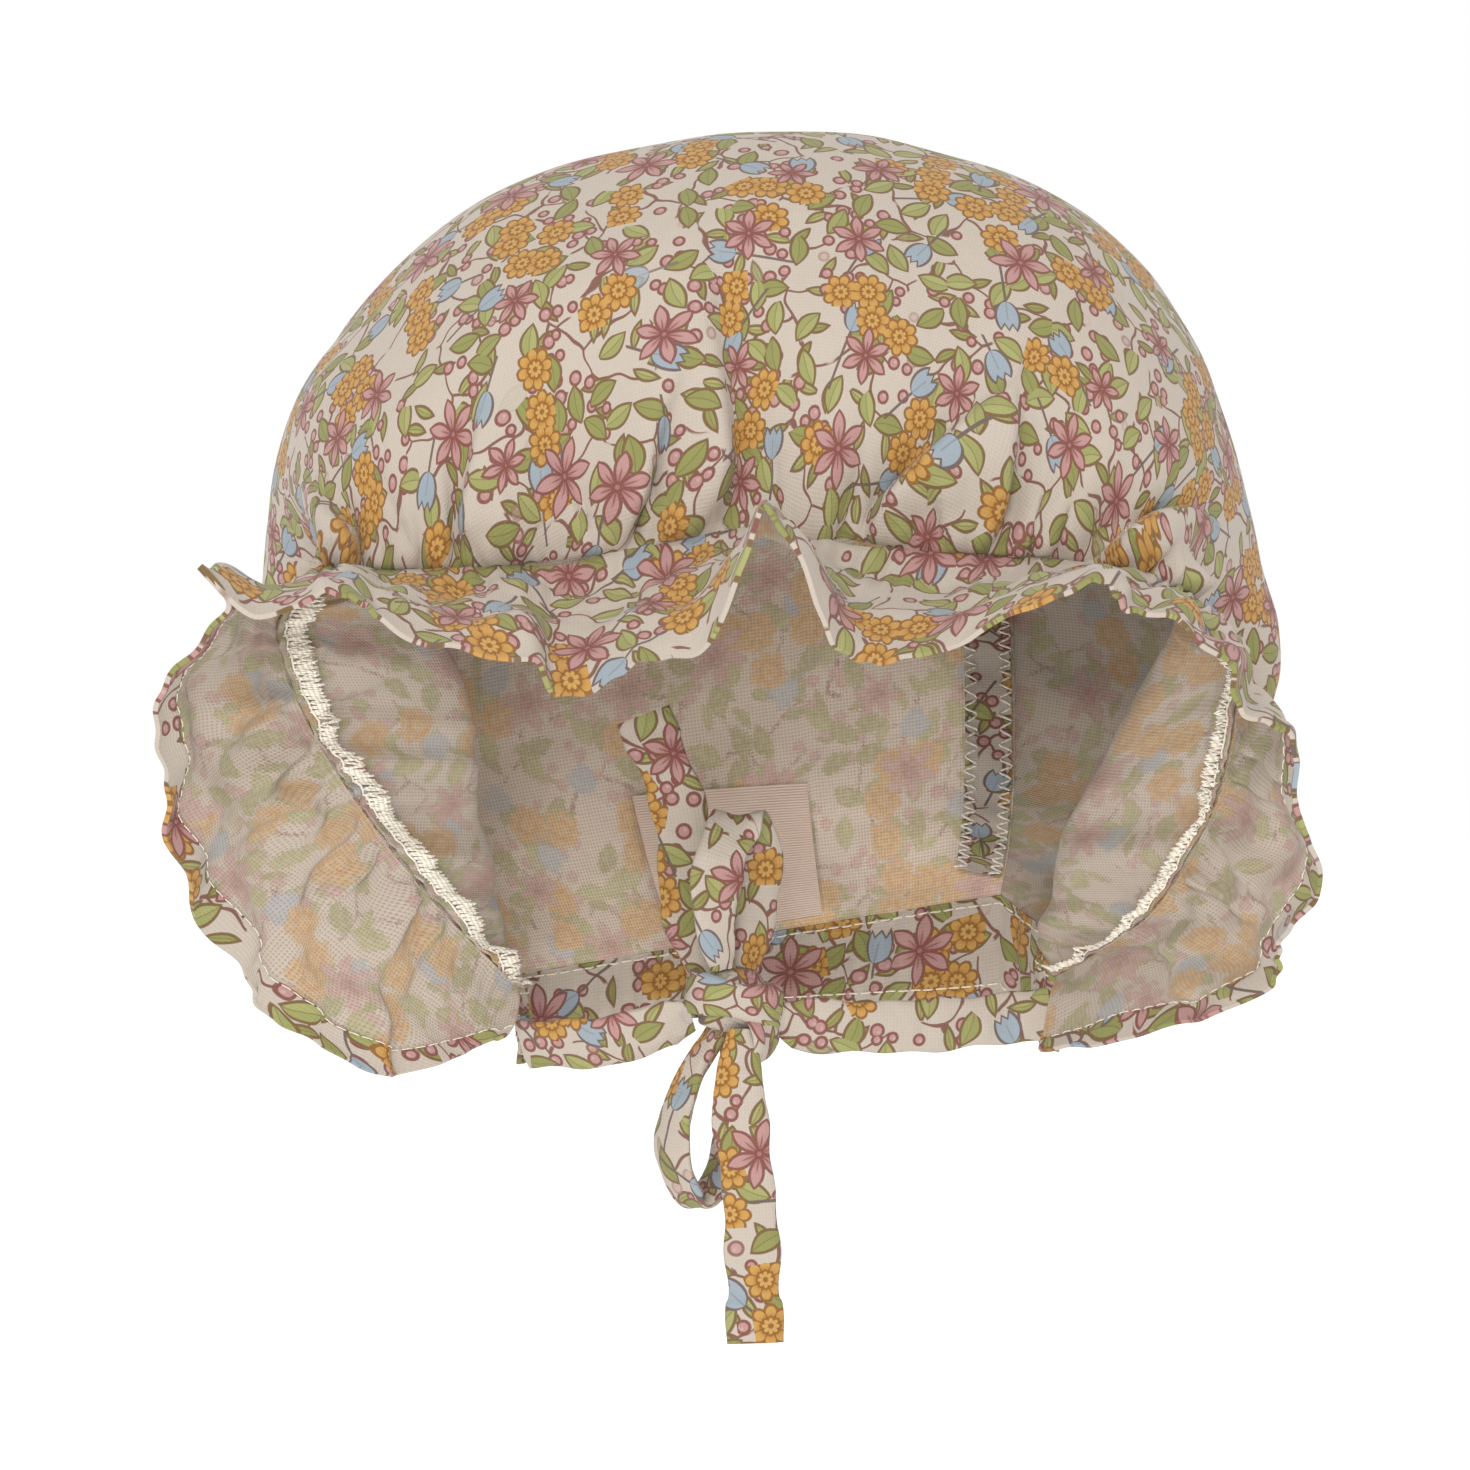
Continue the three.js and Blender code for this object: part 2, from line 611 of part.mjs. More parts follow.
function bowTailShort() {
  const leave = besideKnot([-0.9, 0.5, 0.7], clearOfKnot);
  const points = [leave, ...routePoints(routes.shortTail, shortTail)];
  return strapGeometry(points, sideways, widening, facets.tie);
}

function bowTailLong() {
  const leave = besideKnot([0.25, -0.9, -1], clearOfKnot);
  const points = [leave, ...routePoints(routes.longTail, longTail)];
  return strapGeometry(points, sideways, widening, facets.strap);
}

// Each piece's colour, before its print: unbleached cotton, thread and ribbon.
const printedCotton = { color: 0xe6dccb, roughness: 0.92, metalness: 0 };
const thread = { color: 0xe9e2d2, roughness: 0.85, metalness: 0 };
const ribbon = { color: 0xd9bfae, roughness: 0.6, metalness: 0 };

const bonnet = new THREE.Group();

function addPiece(name, geometry, finish) {
  const mesh = new THREE.Mesh(geometry, new THREE.MeshStandardMaterial(finish));
  mesh.name = name;
  bonnet.add(mesh);
  return mesh;
}

addPiece("crown_band", crownBand(), printedCotton);
addPiece("back_panel", backPanel(), printedCotton);
addPiece("brim_ruffle", brimRuffle(), printedCotton);
addPiece("neck_casing", neckCasing(), printedCotton);
addPiece("brim_seam_allowance", gatherAllowance(), thread);
addPiece("back_allowance_left", backAllowanceLeft(), thread);
addPiece("back_allowance_right", backAllowanceRight(), thread);
addPiece("label", label(), ribbon);
addPiece("tie_left", sideTie(tieStarts.left), printedCotton);
addPiece("tie_right", sideTie(tieStarts.right), printedCotton);
addPiece("bow_knot", knot(), printedCotton).position.copy(knotCentre);
addPiece("bow_loop_upper", bowLoopUpper(), printedCotton);
addPiece("bow_loop_lower", bowLoopLower(), printedCotton);
addPiece("bow_tail_short", bowTailShort(), printedCotton);
addPiece("bow_tail_long", bowTailLong(), printedCotton);

export default bonnet;
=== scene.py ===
from functools import partialmethod
import math

import bpy
import numpy as np
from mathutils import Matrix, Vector


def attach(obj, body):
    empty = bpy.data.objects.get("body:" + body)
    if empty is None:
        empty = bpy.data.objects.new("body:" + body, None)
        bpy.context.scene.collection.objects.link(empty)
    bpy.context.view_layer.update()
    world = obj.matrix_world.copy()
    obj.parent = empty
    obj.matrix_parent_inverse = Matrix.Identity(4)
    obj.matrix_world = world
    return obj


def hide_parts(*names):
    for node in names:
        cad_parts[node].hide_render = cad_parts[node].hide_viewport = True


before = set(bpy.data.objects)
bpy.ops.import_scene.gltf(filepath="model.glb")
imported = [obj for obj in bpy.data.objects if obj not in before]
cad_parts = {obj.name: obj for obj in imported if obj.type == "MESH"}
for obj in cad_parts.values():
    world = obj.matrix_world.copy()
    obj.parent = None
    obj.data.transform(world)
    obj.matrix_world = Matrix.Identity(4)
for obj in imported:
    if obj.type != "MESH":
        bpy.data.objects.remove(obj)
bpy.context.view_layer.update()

# A baby's sun bonnet of thin printed cotton. Sizes are in millimetres until a mesh is made from them.
MM = 0.001
FULL_TURN = 6.283

# Driving dimensions, as in the part's source
CROWN_WIDTH = 190
DOME_HEIGHT = 89
SIDE_HEIGHT = 73
FACE_DEPTH = 58
NAPE_DEPTH = 46
PANEL_BULGE = 7
HEM_BULGE = 9
BRIM_WIDTH = 38
BRIM_CURL = 3
GATHER_DEPTH = 1.3
GATHER_REACH = 16
GATHER_COUNT = 21
RIPPLE_DEPTH = 1.4
CASING_HEIGHT = 13
BRIM_ALLOWANCE = 7
BACK_ALLOWANCE = 9
LABEL_WIDTH = 29
LABEL_HEIGHT = 30
TIE_WIDTH = 10
TIE_GATHERED = 5.5
KNOT_SIZE = np.array([16, 12, 13])
KNOT_FORWARD = 40
UPPER_LOOP = 27
LOWER_LOOP = 31
SHORT_TAIL = 47
LONG_TAIL = 57
TIE_WALL = 2.4
SEAM_GAP = 0.3
CAD_WALL = 1.2

# What the real cloth has and the plain solids leave out
CLOTH = 0.5  # thickness that the cloth is drawn with
HEM_WIDTH = 6.5  # the brim's free edge is turned in and sewn down this wide
HEM_STEP = 0.45
THREAD = 0.17  # radius of a sewing thread
OVERLOCK_THREAD = 0.2
STITCH = 2.6  # length of a stitch with its gap
STITCH_SHARE = 0.78
THREAD_SIDES = 4
LOOP_PITCH = 1.15  # the overlock's loops
WEAVE = 0.68  # from thread to thread of the cloth


def table(rows):
    """A table's columns by name, from a heading and rows of numbers."""
    heading, *rows = rows.strip().splitlines()
    return dict(zip(heading.split(), np.array([row.split() for row in rows], float).T))


# Sections of the crown from the left corner of the face opening, over the top, to the right corner.
CROWN_SECTIONS = table("""
    at seamAcross seamUp seamDeep crestAcross crestUp backAcross backUp backDeep puff dent
       0 -0.47    -1 -0.41  -0.46    -1 -0.48 -0.98 0.72  -0.1 0.02
    0.07 -0.64 -0.77 -0.53   -0.8 -0.79 -0.58 -0.73 0.84  -0.5 0.45
    0.15  -0.8 -0.49 -0.66  -0.95 -0.51 -0.66 -0.45  0.9 -0.65 0.72
    0.21  -0.9 -0.26 -0.78 -0.975 -0.25 -0.69 -0.19 0.94  -0.7 0.82
    0.26 -0.94 -0.07 -0.86  -0.98  0.03 -0.68  0.03 0.97  -0.5 0.65
    0.31 -0.86  0.05 -0.92  -0.96  0.27 -0.57  0.21 0.98     0 0.12
    0.37 -0.65  0.06 -0.97   -0.8  0.61 -0.43  0.36 0.98  0.15    0
    0.43 -0.37  0.08    -1  -0.49 0.885 -0.23  0.47 0.94  0.19    0
     0.5 -0.02  0.14 -1.03   0.04     1     0  0.52 0.92  0.22    0
    0.57  0.32   0.1    -1   0.54   0.9  0.21  0.47 0.94  0.19    0
    0.64  0.61  0.08 -0.97   0.84  0.62  0.38  0.36 0.98  0.15    0
     0.7  0.82  0.02 -0.92  0.965  0.28  0.47  0.21 0.98     0  0.1
    0.76  0.93 -0.12 -0.85   1.03 -0.01  0.52  0.03 0.97 -0.33 0.36
    0.82  0.94 -0.36 -0.76   1.04 -0.29  0.53 -0.19 0.94 -0.65  0.6
    0.88  0.88  -0.6 -0.66   0.99 -0.58  0.53 -0.45  0.9 -0.65  0.7
    0.94  0.77 -0.82 -0.52   0.82 -0.81  0.52 -0.63 0.84 -0.45  0.5
       1   0.6 -0.97 -0.38    0.6 -0.87   0.5 -0.77 0.78  -0.1 0.08
""")

# Where the brim's free edge lies beside its seam.
BRIM_FOLDS = table("""
    at across drop width
        0 -0.05  0.22  0.3
     0.03 -0.15  0.53  0.6
     0.07 -0.27  0.86 0.95
      0.1 -0.45  0.85    1
     0.13 -0.63  0.74    1
    0.155 -0.74   0.6    1
     0.18 -0.68  0.52    1
     0.21 -0.64  0.34    1
    0.235  -0.5  0.12    1
    0.252  -0.3     0    1
    0.267 -0.18 -0.02    1
    0.281 -0.38 -0.18    1
    0.296 -0.18  0.12    1
    0.312  0.04  0.18    1
    0.335  0.06  0.13    1
    0.352  0.01  0.24    1
    0.372  0.06   0.4    1
    0.392  0.04  0.45    1
     0.41   0.1  0.43    1
    0.425  0.02  0.61    1
    0.442  0.08  0.62    1
    0.462   0.1  0.56    1
     0.48  0.12  0.42    1
    0.495  0.05  0.18    1
    0.507     0 -0.14    1
    0.519 -0.05  0.02    1
    0.533 -0.09  0.25    1
     0.55 -0.16  0.48    1
     0.57  -0.2  0.57    1
    0.592 -0.18   0.5    1
    0.615 -0.15  0.32    1
     0.64  -0.1  0.18    1
    0.668  -0.1  0.13    1
      0.7 -0.16  0.14    1
     0.73  -0.1  0.12    1
     0.76 -0.01   0.2    1
     0.79  0.16  0.26    1
     0.82  0.29  0.33    1
     0.85   0.4   0.4    1
     0.88  0.44  0.47    1
     0.91  0.42  0.48    1
     0.94  0.37  0.43 0.95
     0.97   0.2   0.4 0.75
        1  -0.1  0.36  0.5
""")

# Deep tucks that run from the gather seam into the crown: place, drift, and breadth, height and run in
# millimetres. The cloth folds over towards the right, or towards the left where breadth is negative.
CROWN_TUCKS = [
    (0.335, -0.01, 3.8, 4.2, 22),
    (0.39, 0.02, -3.2, 3.0, 24),
    (0.452, 0.02, 3.6, 4.2, 22),
    (0.49, -0.006, 4.8, 5.0, 32),
    (0.545, 0.035, -4.0, 4.6, 24),
    (0.6, -0.01, 3.2, 3.0, 25),
    (0.655, 0.04, -4.4, 4.8, 26),
    (0.71, 0.02, 3.8, 3.8, 22),
]
CASING_DROPS = table("""
    at drop
       0    1
     0.3 0.95
     0.5 1.05
     0.7  1.4
    0.85 1.25
       1    1
""")

# A soft ridge that the cloth hangs in, aslant over the crown
DRAPE = {"from_at": 0.34, "from_reach": 0.12, "to_at": 0.56, "to_reach": 0.36}
DRAPE_HEIGHT = 2.2
DRAPE_BREADTH = 0.055
SEAM_LENGTH = 480


def follow(rows, column, at):
    """A table's column at any places, as one smooth line through its rows."""
    x = rows["at"]
    y = rows[column]
    at = np.asarray(at, float)
    last = len(x) - 1
    after = np.clip(np.searchsorted(x, at), 1, last)
    before = after - 1

    def slope(k):
        low = np.maximum(k - 1, 0)
        high = np.minimum(k + 1, last)
        return (y[high] - y[low]) / (x[high] - x[low])

    span = x[after] - x[before]
    t = (at - x[before]) / span
    ease = t * t * (3 - 2 * t)
    leave = t * (1 - t) ** 2 * span * slope(before)
    arrive = t * t * (1 - t) * span * slope(after)
    return y[before] * (1 - ease) + y[after] * ease + leave - arrive


def point(x, y, z):
    return np.stack(np.broadcast_arrays(x, y, z), axis=-1).astype(float)


def place(across, up, deep):
    """A place given by shares of the crown's own sizes."""
    level = up * np.where(up > 0, DOME_HEIGHT, SIDE_HEIGHT)
    depth = deep * np.where(deep < 0, FACE_DEPTH, NAPE_DEPTH)
    return point(across * CROWN_WIDTH / 2, depth, CAD_WALL / 2 - DOME_HEIGHT + level)


def section_value(name, at):
    return follow(CROWN_SECTIONS, name, at)


def line_of_sections(name, at):
    return [section_value(name + way, at) for way in ("Across", "Up")]


def seam_point(at):
    return place(*line_of_sections("seam", at), section_value("seamDeep", at))


def crest_point(at):
    return place(*line_of_sections("crest", at), np.zeros_like(at, float))


def back_point(at):
    return place(*line_of_sections("back", at), section_value("backDeep", at))


def bezier(a, b, c, d, t):
    t = np.asarray(t)[..., None]
    return a * (1 - t) ** 3 + 3 * b * t * (1 - t) ** 2 + 3 * c * t * t * (1 - t) + d * t**3


ROUNDNESS = 0.55


def crown_surface(at, reach):
    """The crown's middle surface: at runs along the gather seam, reach from it to the back seam."""
    at, reach = np.broadcast_arrays(np.asarray(at, float), np.asarray(reach, float))
    seam = seam_point(at)
    crest = crest_point(at)
    back = back_point(at)
    drawn_in = -np.sign(seam[..., 0]) * section_value("dent", at) * CROWN_WIDTH / 2
    forward = -section_value("puff", at) * FACE_DEPTH
    swell = seam + point(
        (crest[..., 0] - seam[..., 0]) / 2 + drawn_in, forward, (crest[..., 2] - seam[..., 2]) / 2
    )
    crest_front = point(crest[..., 0], ROUNDNESS * seam[..., 1], crest[..., 2])
    crest_back = point(crest[..., 0], ROUNDNESS * back[..., 1], crest[..., 2])
    turn_in = point((crest[..., 0] + back[..., 0]) / 2, back[..., 1], (crest[..., 2] + back[..., 2]) / 2)
    front = bezier(seam, swell, crest_front, crest, np.clip(2 * reach, 0, 1))
    rear = bezier(crest, crest_back, turn_in, back, np.clip(2 * reach - 1, 0, 1))
    return np.where((reach < 0.5)[..., None], front, rear)


def lengths_along(points, axis):
    """How far each point of a grid lies along one of its two ways."""
    steps = np.linalg.norm(np.diff(points, axis=axis), axis=-1)
    start = np.zeros_like(np.take(steps, [0], axis=axis))
    return np.concatenate([start, np.cumsum(steps, axis=axis)], axis=axis)


LENGTH_AT = np.linspace(0, 1, 201)
LENGTHS = lengths_along(crown_surface(LENGTH_AT[:, None], np.linspace(0, 1, 81)[None, :]), 1)[:, -1]


def section_length(at):
    return np.interp(at, LENGTH_AT, LENGTHS)


def unit(vectors):
    return vectors / np.maximum(np.linalg.norm(vectors, axis=-1, keepdims=True), 1e-9)


STEP = 2e-3  # to the neighbouring places that a surface's directions are taken from


def square_to(surface, u, v):
    """Direction square to a surface at places of it."""
    along_u = surface(np.minimum(u + STEP, 1), v) - surface(np.maximum(u - STEP, 0), v)
    along_v = surface(u, np.minimum(v + STEP, 1)) - surface(u, np.maximum(v - STEP, 0))
    return unit(np.cross(along_u, along_v))


def bell(x):
    return np.exp(-x * x)


def arch(x):
    return 4 * x * (1 - x)


def wave_phase(count, waves, swing, at):
    return 2 * np.pi * (count * at + swing * np.sin(2 * np.pi * waves * at))


def crumple(x, y, size, seed, count=9):
    """Uneven soft waves of about one size, from a few sines that run in seeded directions."""
    chance = np.random.default_rng(seed)
    total = np.zeros(np.broadcast(x, y).shape)
    for _ in range(count):
        angle = chance.uniform(0, 2 * np.pi)
        pitch = size * chance.uniform(0.7, 1.5)
        start = chance.uniform(0, 2 * np.pi)
        total = total + np.sin(2 * np.pi * (x * np.cos(angle) + y * np.sin(angle)) / pitch + start)
    return total / math.sqrt(count)


def crumples(x, y, layers):
    """Crumples of several sizes together, from rows of depth, size and seed."""
    return sum(depth * crumple(x, y, size, seed) for depth, size, seed in layers)


EASE_IN = 4
PUCKER_COUNT = 92  # fine gathers along the whole seam


def puckers(at, along, fade):
    """Fine uneven gathers beside a gathered seam."""
    phase = wave_phase(PUCKER_COUNT, 7, 0.8, at)
    strength = 0.55 + 0.3 * np.sin(2 * np.pi * 13 * at + 1) + 0.25 * np.sin(2 * np.pi * 29 * at)
    return strength * np.sin(phase + 0.05 * along) * np.exp(-along / fade) * np.clip(along / 1.5, 0, 1)


PUFF_COUNT = 23  # round puffs between pinched valleys


def puffs(at, along, fade, lean=0.0):
    """The gathered cloth's puffs: round on top, pinched between, and higher at some places."""
    phase = wave_phase(PUFF_COUNT, 6, 0.55, at) / 2 + lean * along
    strength = 0.62 + 0.28 * np.sin(2 * np.pi * 5.3 * at + 2) + 0.22 * np.sin(2 * np.pi * 11.7 * at)
    rounded = np.abs(np.sin(phase)) ** 0.65
    return strength * rounded * (1 - np.exp(-along / 1.6)) * np.exp(-along / fade)


def small_pleats(count=40, first=0.2, last=0.82, seed=8):
    """Short folds along the gather seam, as rows of the table of tucks."""
    chance = np.random.default_rng(seed)
    places = first + (last - first) * (np.arange(count) + chance.uniform(-0.4, 0.4, count)) / count
    return np.stack([
        places,
        chance.uniform(-0.02, 0.03, count),
        chance.choice([-1, 1], count) * chance.uniform(1.5, 2.6, count),
        chance.uniform(0.5, 1.4, count),
        chance.uniform(5, 15, count),
    ], axis=1)


PLEATS = np.concatenate([CROWN_TUCKS, small_pleats()])


def pleats(at, along):
    """Sharp folds of the crown: how far the cloth sinks, and how far its lips lean over sideways."""
    sunk, leant = np.zeros(at.shape), np.zeros(at.shape)
    for place_at, drift, breadth, height, run in PLEATS:
        far = along / run
        aside = (at - place_at - drift * far) * SEAM_LENGTH / breadth
        grown = height * np.clip(3 * far, 0, 1) * bell(far)
        sunk += grown * np.tanh(3.2 * aside) * bell(aside / 2.3)
        leant += grown * 0.9 * math.copysign(1, breadth) * bell((aside + 0.45) / 0.8)
    return sunk, leant


SEAM_WANDER = 1.1  # the seam itself is drawn in and out by its gathers
OVERHANG = 3.6  # the puffs sag past the seam by about this much, more at some places than at others


def seam_wander(at, along):
    front = bell((at - 0.52) / 0.15)
    return SEAM_WANDER * front * crumple(SEAM_LENGTH * at, 0 * along, 24, 77) * np.exp(-along / 9)


def drape(at, reach):
    """The height of the soft ridge over the crown."""
    run = (at - DRAPE["from_at"]) / (DRAPE["to_at"] - DRAPE["from_at"])
    middle = DRAPE["from_reach"] + run * (DRAPE["to_reach"] - DRAPE["from_reach"])
    ridge = DRAPE_HEIGHT * bell((reach - middle) / DRAPE_BREADTH)
    return np.where((run > 0) & (run < 1), ridge * np.sin(np.pi * np.clip(run, 0, 1)), 0)


CROWN_PUFF = {"height": 4.2, "fade": 11, "lean": 0.02}
CROWN_PUCKER = {"height": 0.9, "fade": 6}
SEAM_CRUMPLES = [(1.0, 18, 9)]  # depth, size and seed
CROWN_CRUMPLES = [(0.45, 42, 3), (0.14, 15, 4)]
FLAT_AT_SEAM = 8
FLAT_AT_BACK = 6


def crown_relief(at, reach):
    """How far the cloth stands out for its gathers, tucks, drape and crumples."""
    along = reach * section_length(at)
    left = section_length(at) - along
    spread = SEAM_LENGTH * at
    fade = np.exp(-along / GATHER_REACH) * np.clip(EASE_IN * along / GATHER_REACH, 0, 1)
    relief = GATHER_DEPTH * fade * np.cos(wave_phase(GATHER_COUNT, 3, 0.35, at))
    relief += drape(at, reach) - pleats(at, along)[0] + seam_wander(at, along)
    relief += CROWN_PUFF["height"] * puffs(at, along, CROWN_PUFF["fade"], CROWN_PUFF["lean"])
    relief += CROWN_PUCKER["height"] * puckers(at, along, CROWN_PUCKER["fade"])
    near = np.clip(along / 4, 0, 1) * np.exp(-along / 17)
    relief += near * crumples(spread, along, SEAM_CRUMPLES)
    ends = np.clip(along / FLAT_AT_SEAM, 0, 1) * np.clip(left / FLAT_AT_BACK, 0, 1)
    return relief + ends * crumples(spread, along, CROWN_CRUMPLES)


def crown_cloth(at, reach):
    """The crown's middle surface with its relief."""
    at, reach = np.broadcast_arrays(np.asarray(at, float), np.asarray(reach, float))
    base = crown_surface(at, reach)
    seamward = unit(crown_surface(at, np.maximum(reach - STEP, 0)) - crown_surface(at, reach + STEP))
    along = reach * section_length(at)
    uneven = np.clip(0.7 + 0.9 * crumple(SEAM_LENGTH * at, 0 * along, 34, 5), 0, 1.9)
    sag = OVERHANG * uneven * puffs(at, along, 7, CROWN_PUFF["lean"])
    square = square_to(crown_surface, at, reach)
    sideways = unit(crown_surface(np.minimum(at + STEP, 1), reach) - crown_surface(at - STEP, reach))
    leant = pleats(at, along)[1]
    cloth = base + square * crown_relief(at, reach)[..., None]
    return cloth + seamward * sag[..., None] + sideways * leant[..., None]


NECK_LEFT = 0.3
NECK_RIGHT = 0.7


def back_hem(share):
    left = back_point(np.zeros_like(share, float))
    right = back_point(np.ones_like(share, float))
    line = left + (right - left) * np.asarray(share)[..., None]
    line[..., 1] += HEM_BULGE * arch(share)
    return line


def neck_point(share):
    """The neck line from the left corner round the back to the right corner."""
    share = np.asarray(share, float)
    left = crown_surface(np.zeros_like(share), np.clip(share / NECK_LEFT, 0, 1))
    right = crown_surface(np.ones_like(share), np.clip((1 - share) / (1 - NECK_RIGHT), 0, 1))
    middle = back_hem(np.clip((share - NECK_LEFT) / (NECK_RIGHT - NECK_LEFT), 0, 1))
    line = np.where((share < NECK_LEFT)[..., None], left, middle)
    return np.where((share > NECK_RIGHT)[..., None], right, line)


PANEL_LEFT = 0.42
PANEL_RIGHT = 0.58


def panel_surface(across, up):
    """The back panel spans four edges: the two sides and the top of the back seam, and the hem."""
    across, up = np.broadcast_arrays(np.asarray(across, float), np.asarray(up, float))
    s = across[..., None]
    t = up[..., None]
    left = back_point(PANEL_LEFT * up)
    right = back_point(1 - (1 - PANEL_RIGHT) * up)
    low = back_hem(across)
    high = back_point(PANEL_LEFT + (PANEL_RIGHT - PANEL_LEFT) * across)
    corner = [back_point(np.array(at)) for at in (0.0, 1.0, PANEL_LEFT, PANEL_RIGHT)]
    sides = left * (1 - s) + right * s + low * (1 - t) + high * t
    corners = (corner[0] * (1 - s) + corner[1] * s) * (1 - t) + (corner[2] * (1 - s) + corner[3] * s) * t
    surface = sides - corners
    surface[..., 1] += PANEL_BULGE * arch(across) * arch(up)
    return surface


MOST_SPREAD = 0.985
CREASE_DEPTH = 1.8
CREASE_BREADTH = 1.3
SEAM_DIP = 3.6  # the front of the brim first falls from its seam, then flares

# Creases that spread from the gather seam over the brim's two sides: place, drift, breadth and depth.
BRIM_CREASES = [
    (0.06, 0.012, 0.005, 1.3),
    (0.088, -0.014, 0.004, 1.9),
    (0.112, 0.01, 0.004, 1.5),
    (0.137, -0.008, 0.005, 2.2),
    (0.16, 0.012, 0.004, 1.6),
    (0.186, -0.006, 0.005, 1.9),
    (0.214, 0.01, 0.004, 1.4),
    (0.775, -0.01, 0.005, 1.6),
    (0.81, 0.012, 0.004, 1.9),
    (0.838, -0.006, 0.005, 1.5),
    (0.872, 0.01, 0.005, 2.0),
    (0.905, -0.012, 0.004, 1.7),
    (0.94, 0.008, 0.005, 1.5),
]


def brim_creases(at, reach):
    """How far the creases of the two sides sink."""
    sunk = np.zeros(at.shape)
    for crease_at, lean, breadth, deep in BRIM_CREASES:
        groove = bell((at - crease_at - lean * reach) / (CREASE_BREADTH * breadth * (0.6 + reach)))
        sunk += CREASE_DEPTH * deep * groove * np.clip(9 * reach, 0, 1) * np.clip(1.15 - reach, 0, 1)
    return sunk


def brim_relief(at, reach, width):
    """How far the brim stands out for its curl, ripples, gathers and creases."""
    along = reach * BRIM_WIDTH * width
    ripple = RIPPLE_DEPTH * reach * np.sin(wave_phase(19, 4, 0.3, at))
    slack = 1 - 1.1 * bell((at - 0.52) / 0.19) * (1 - reach)
    pinched = 0.9 * puckers(at, along, 11) + 2.3 * puffs(at + 0.5 / PUFF_COUNT, along, 10, -0.03)
    uneven = 0.75 + 0.5 * (1 - bell((at - 0.5) / 0.26))
    crumpled = np.clip(along / 6, 0, 1) * uneven * crumple(SEAM_LENGTH * at, along, 16, 6)
    edge_waves = 0.35 * np.sin(wave_phase(53, 9, 0.7, at)) * bell((1 - reach) / 0.22)
    relief = width * (BRIM_CURL * arch(reach) * slack + ripple + pinched + crumpled + edge_waves)
    dip = SEAM_DIP * bell((at - 0.51) / 0.2) * 9.5 * reach * (1 - reach) ** 3
    return relief + seam_wander(at, along) - dip - brim_creases(at, reach)


def brim_surface(at, reach):
    """The brim's middle surface: at runs along the gather seam, reach from it to the free edge."""
    at, reach = np.broadcast_arrays(np.asarray(at, float), np.asarray(reach, float))
    across, drop, width = (follow(BRIM_FOLDS, column, at) for column in ("across", "drop", "width"))
    flat = np.hypot(across, drop)
    shrink = np.minimum(1, MOST_SPREAD * width / np.maximum(flat, 1e-6))
    forward = np.sqrt(np.maximum(width**2 - (flat * shrink) ** 2, 0))
    fall = point(across * shrink, -forward, -drop * shrink) * BRIM_WIDTH
    outward = crest_point(at) - seam_point(at)
    outward[..., 1] = 0
    relief = brim_relief(at, reach, width)
    return seam_point(at) + fall * reach[..., None] + unit(outward) * relief[..., None]


# Meshes
def add_object(name, data, location=(0, 0, 0)):
    made = bpy.data.objects.new(name, data)
    made.location = location
    bpy.context.scene.collection.objects.link(made)
    return made


def mesh_object(name, points, faces, uv, materials, slots=None):
    """A new object from points in millimetres, its faces, its flat cloth places and its materials."""
    mesh = bpy.data.meshes.new(name)
    mesh.from_pydata((np.asarray(points).reshape(-1, 3) * MM).tolist(), [], faces)
    index = np.zeros(len(mesh.loops), np.int32)
    mesh.loops.foreach_get("vertex_index", index)
    layer = mesh.uv_layers.new(name="cloth")
    layer.data.foreach_set("uv", np.asarray(uv, np.float32).reshape(-1, 2)[index].ravel())
    for material in materials:
        mesh.materials.append(material)
    if slots is not None:
        mesh.polygons.foreach_set("material_index", np.asarray(slots, np.int32))
    mesh.polygons.foreach_set("use_smooth", [True] * len(mesh.polygons))
    mesh.set_sharp_from_angle(angle=math.radians(70))
    mesh.validate()
    return add_object(name, mesh)


def normals_of(grid):
    return unit(np.cross(np.gradient(grid, axis=0), np.gradient(grid, axis=1)))


def cloth_wall(name, grid, uv, above, below, plus=CLOTH / 2, minus=CLOTH / 2):
    """A closed cloth wall about a grid of points: above and below are its two sides' materials.

    plus and minus are how far each side lies from the grid. The rim shows the upper side's material.
    """
    square = normals_of(grid)
    sides = [grid + square * np.asarray(plus)[..., None], grid - square * np.asarray(minus)[..., None]]
    index = np.arange(grid[..., 0].size).reshape(grid.shape[:2])
    corners = [index[:-1, :-1], index[1:, :-1], index[1:, 1:], index[:-1, 1:]]
    top = np.stack(corners, axis=-1).reshape(-1, 4)
    edges = [index[::-1, 0], index[:, -1], index[0], index[-1, ::-1]]
    rim = [np.stack([e[:-1], e[1:], e[1:] + index.size, e[:-1] + index.size], axis=1) for e in edges]
    faces = np.concatenate([top, top[:, ::-1] + index.size, *rim])
    slots = np.zeros(len(faces), np.int32)
    slots[len(top):2 * len(top)] = 1
    both = np.concatenate([uv.reshape(-1, 2)] * 2)
    return mesh_object(name, np.stack(sides), faces.tolist(), both, [above, below], slots)


def ring_faces(spans, ring):
    """Faces round a tube of some spans between rings of points."""
    faces = []
    for k in range(spans):
        for s in range(ring):
            t = (s + 1) % ring
            faces.append([k * ring + s, k * ring + t, (k + 1) * ring + t, (k + 1) * ring + s])
    return faces


def closed_tube(spans, ring):
    """Those faces with one across each end."""
    return ring_faces(spans, ring) + [list(range(ring))[::-1], [spans * ring + s for s in range(ring)]]


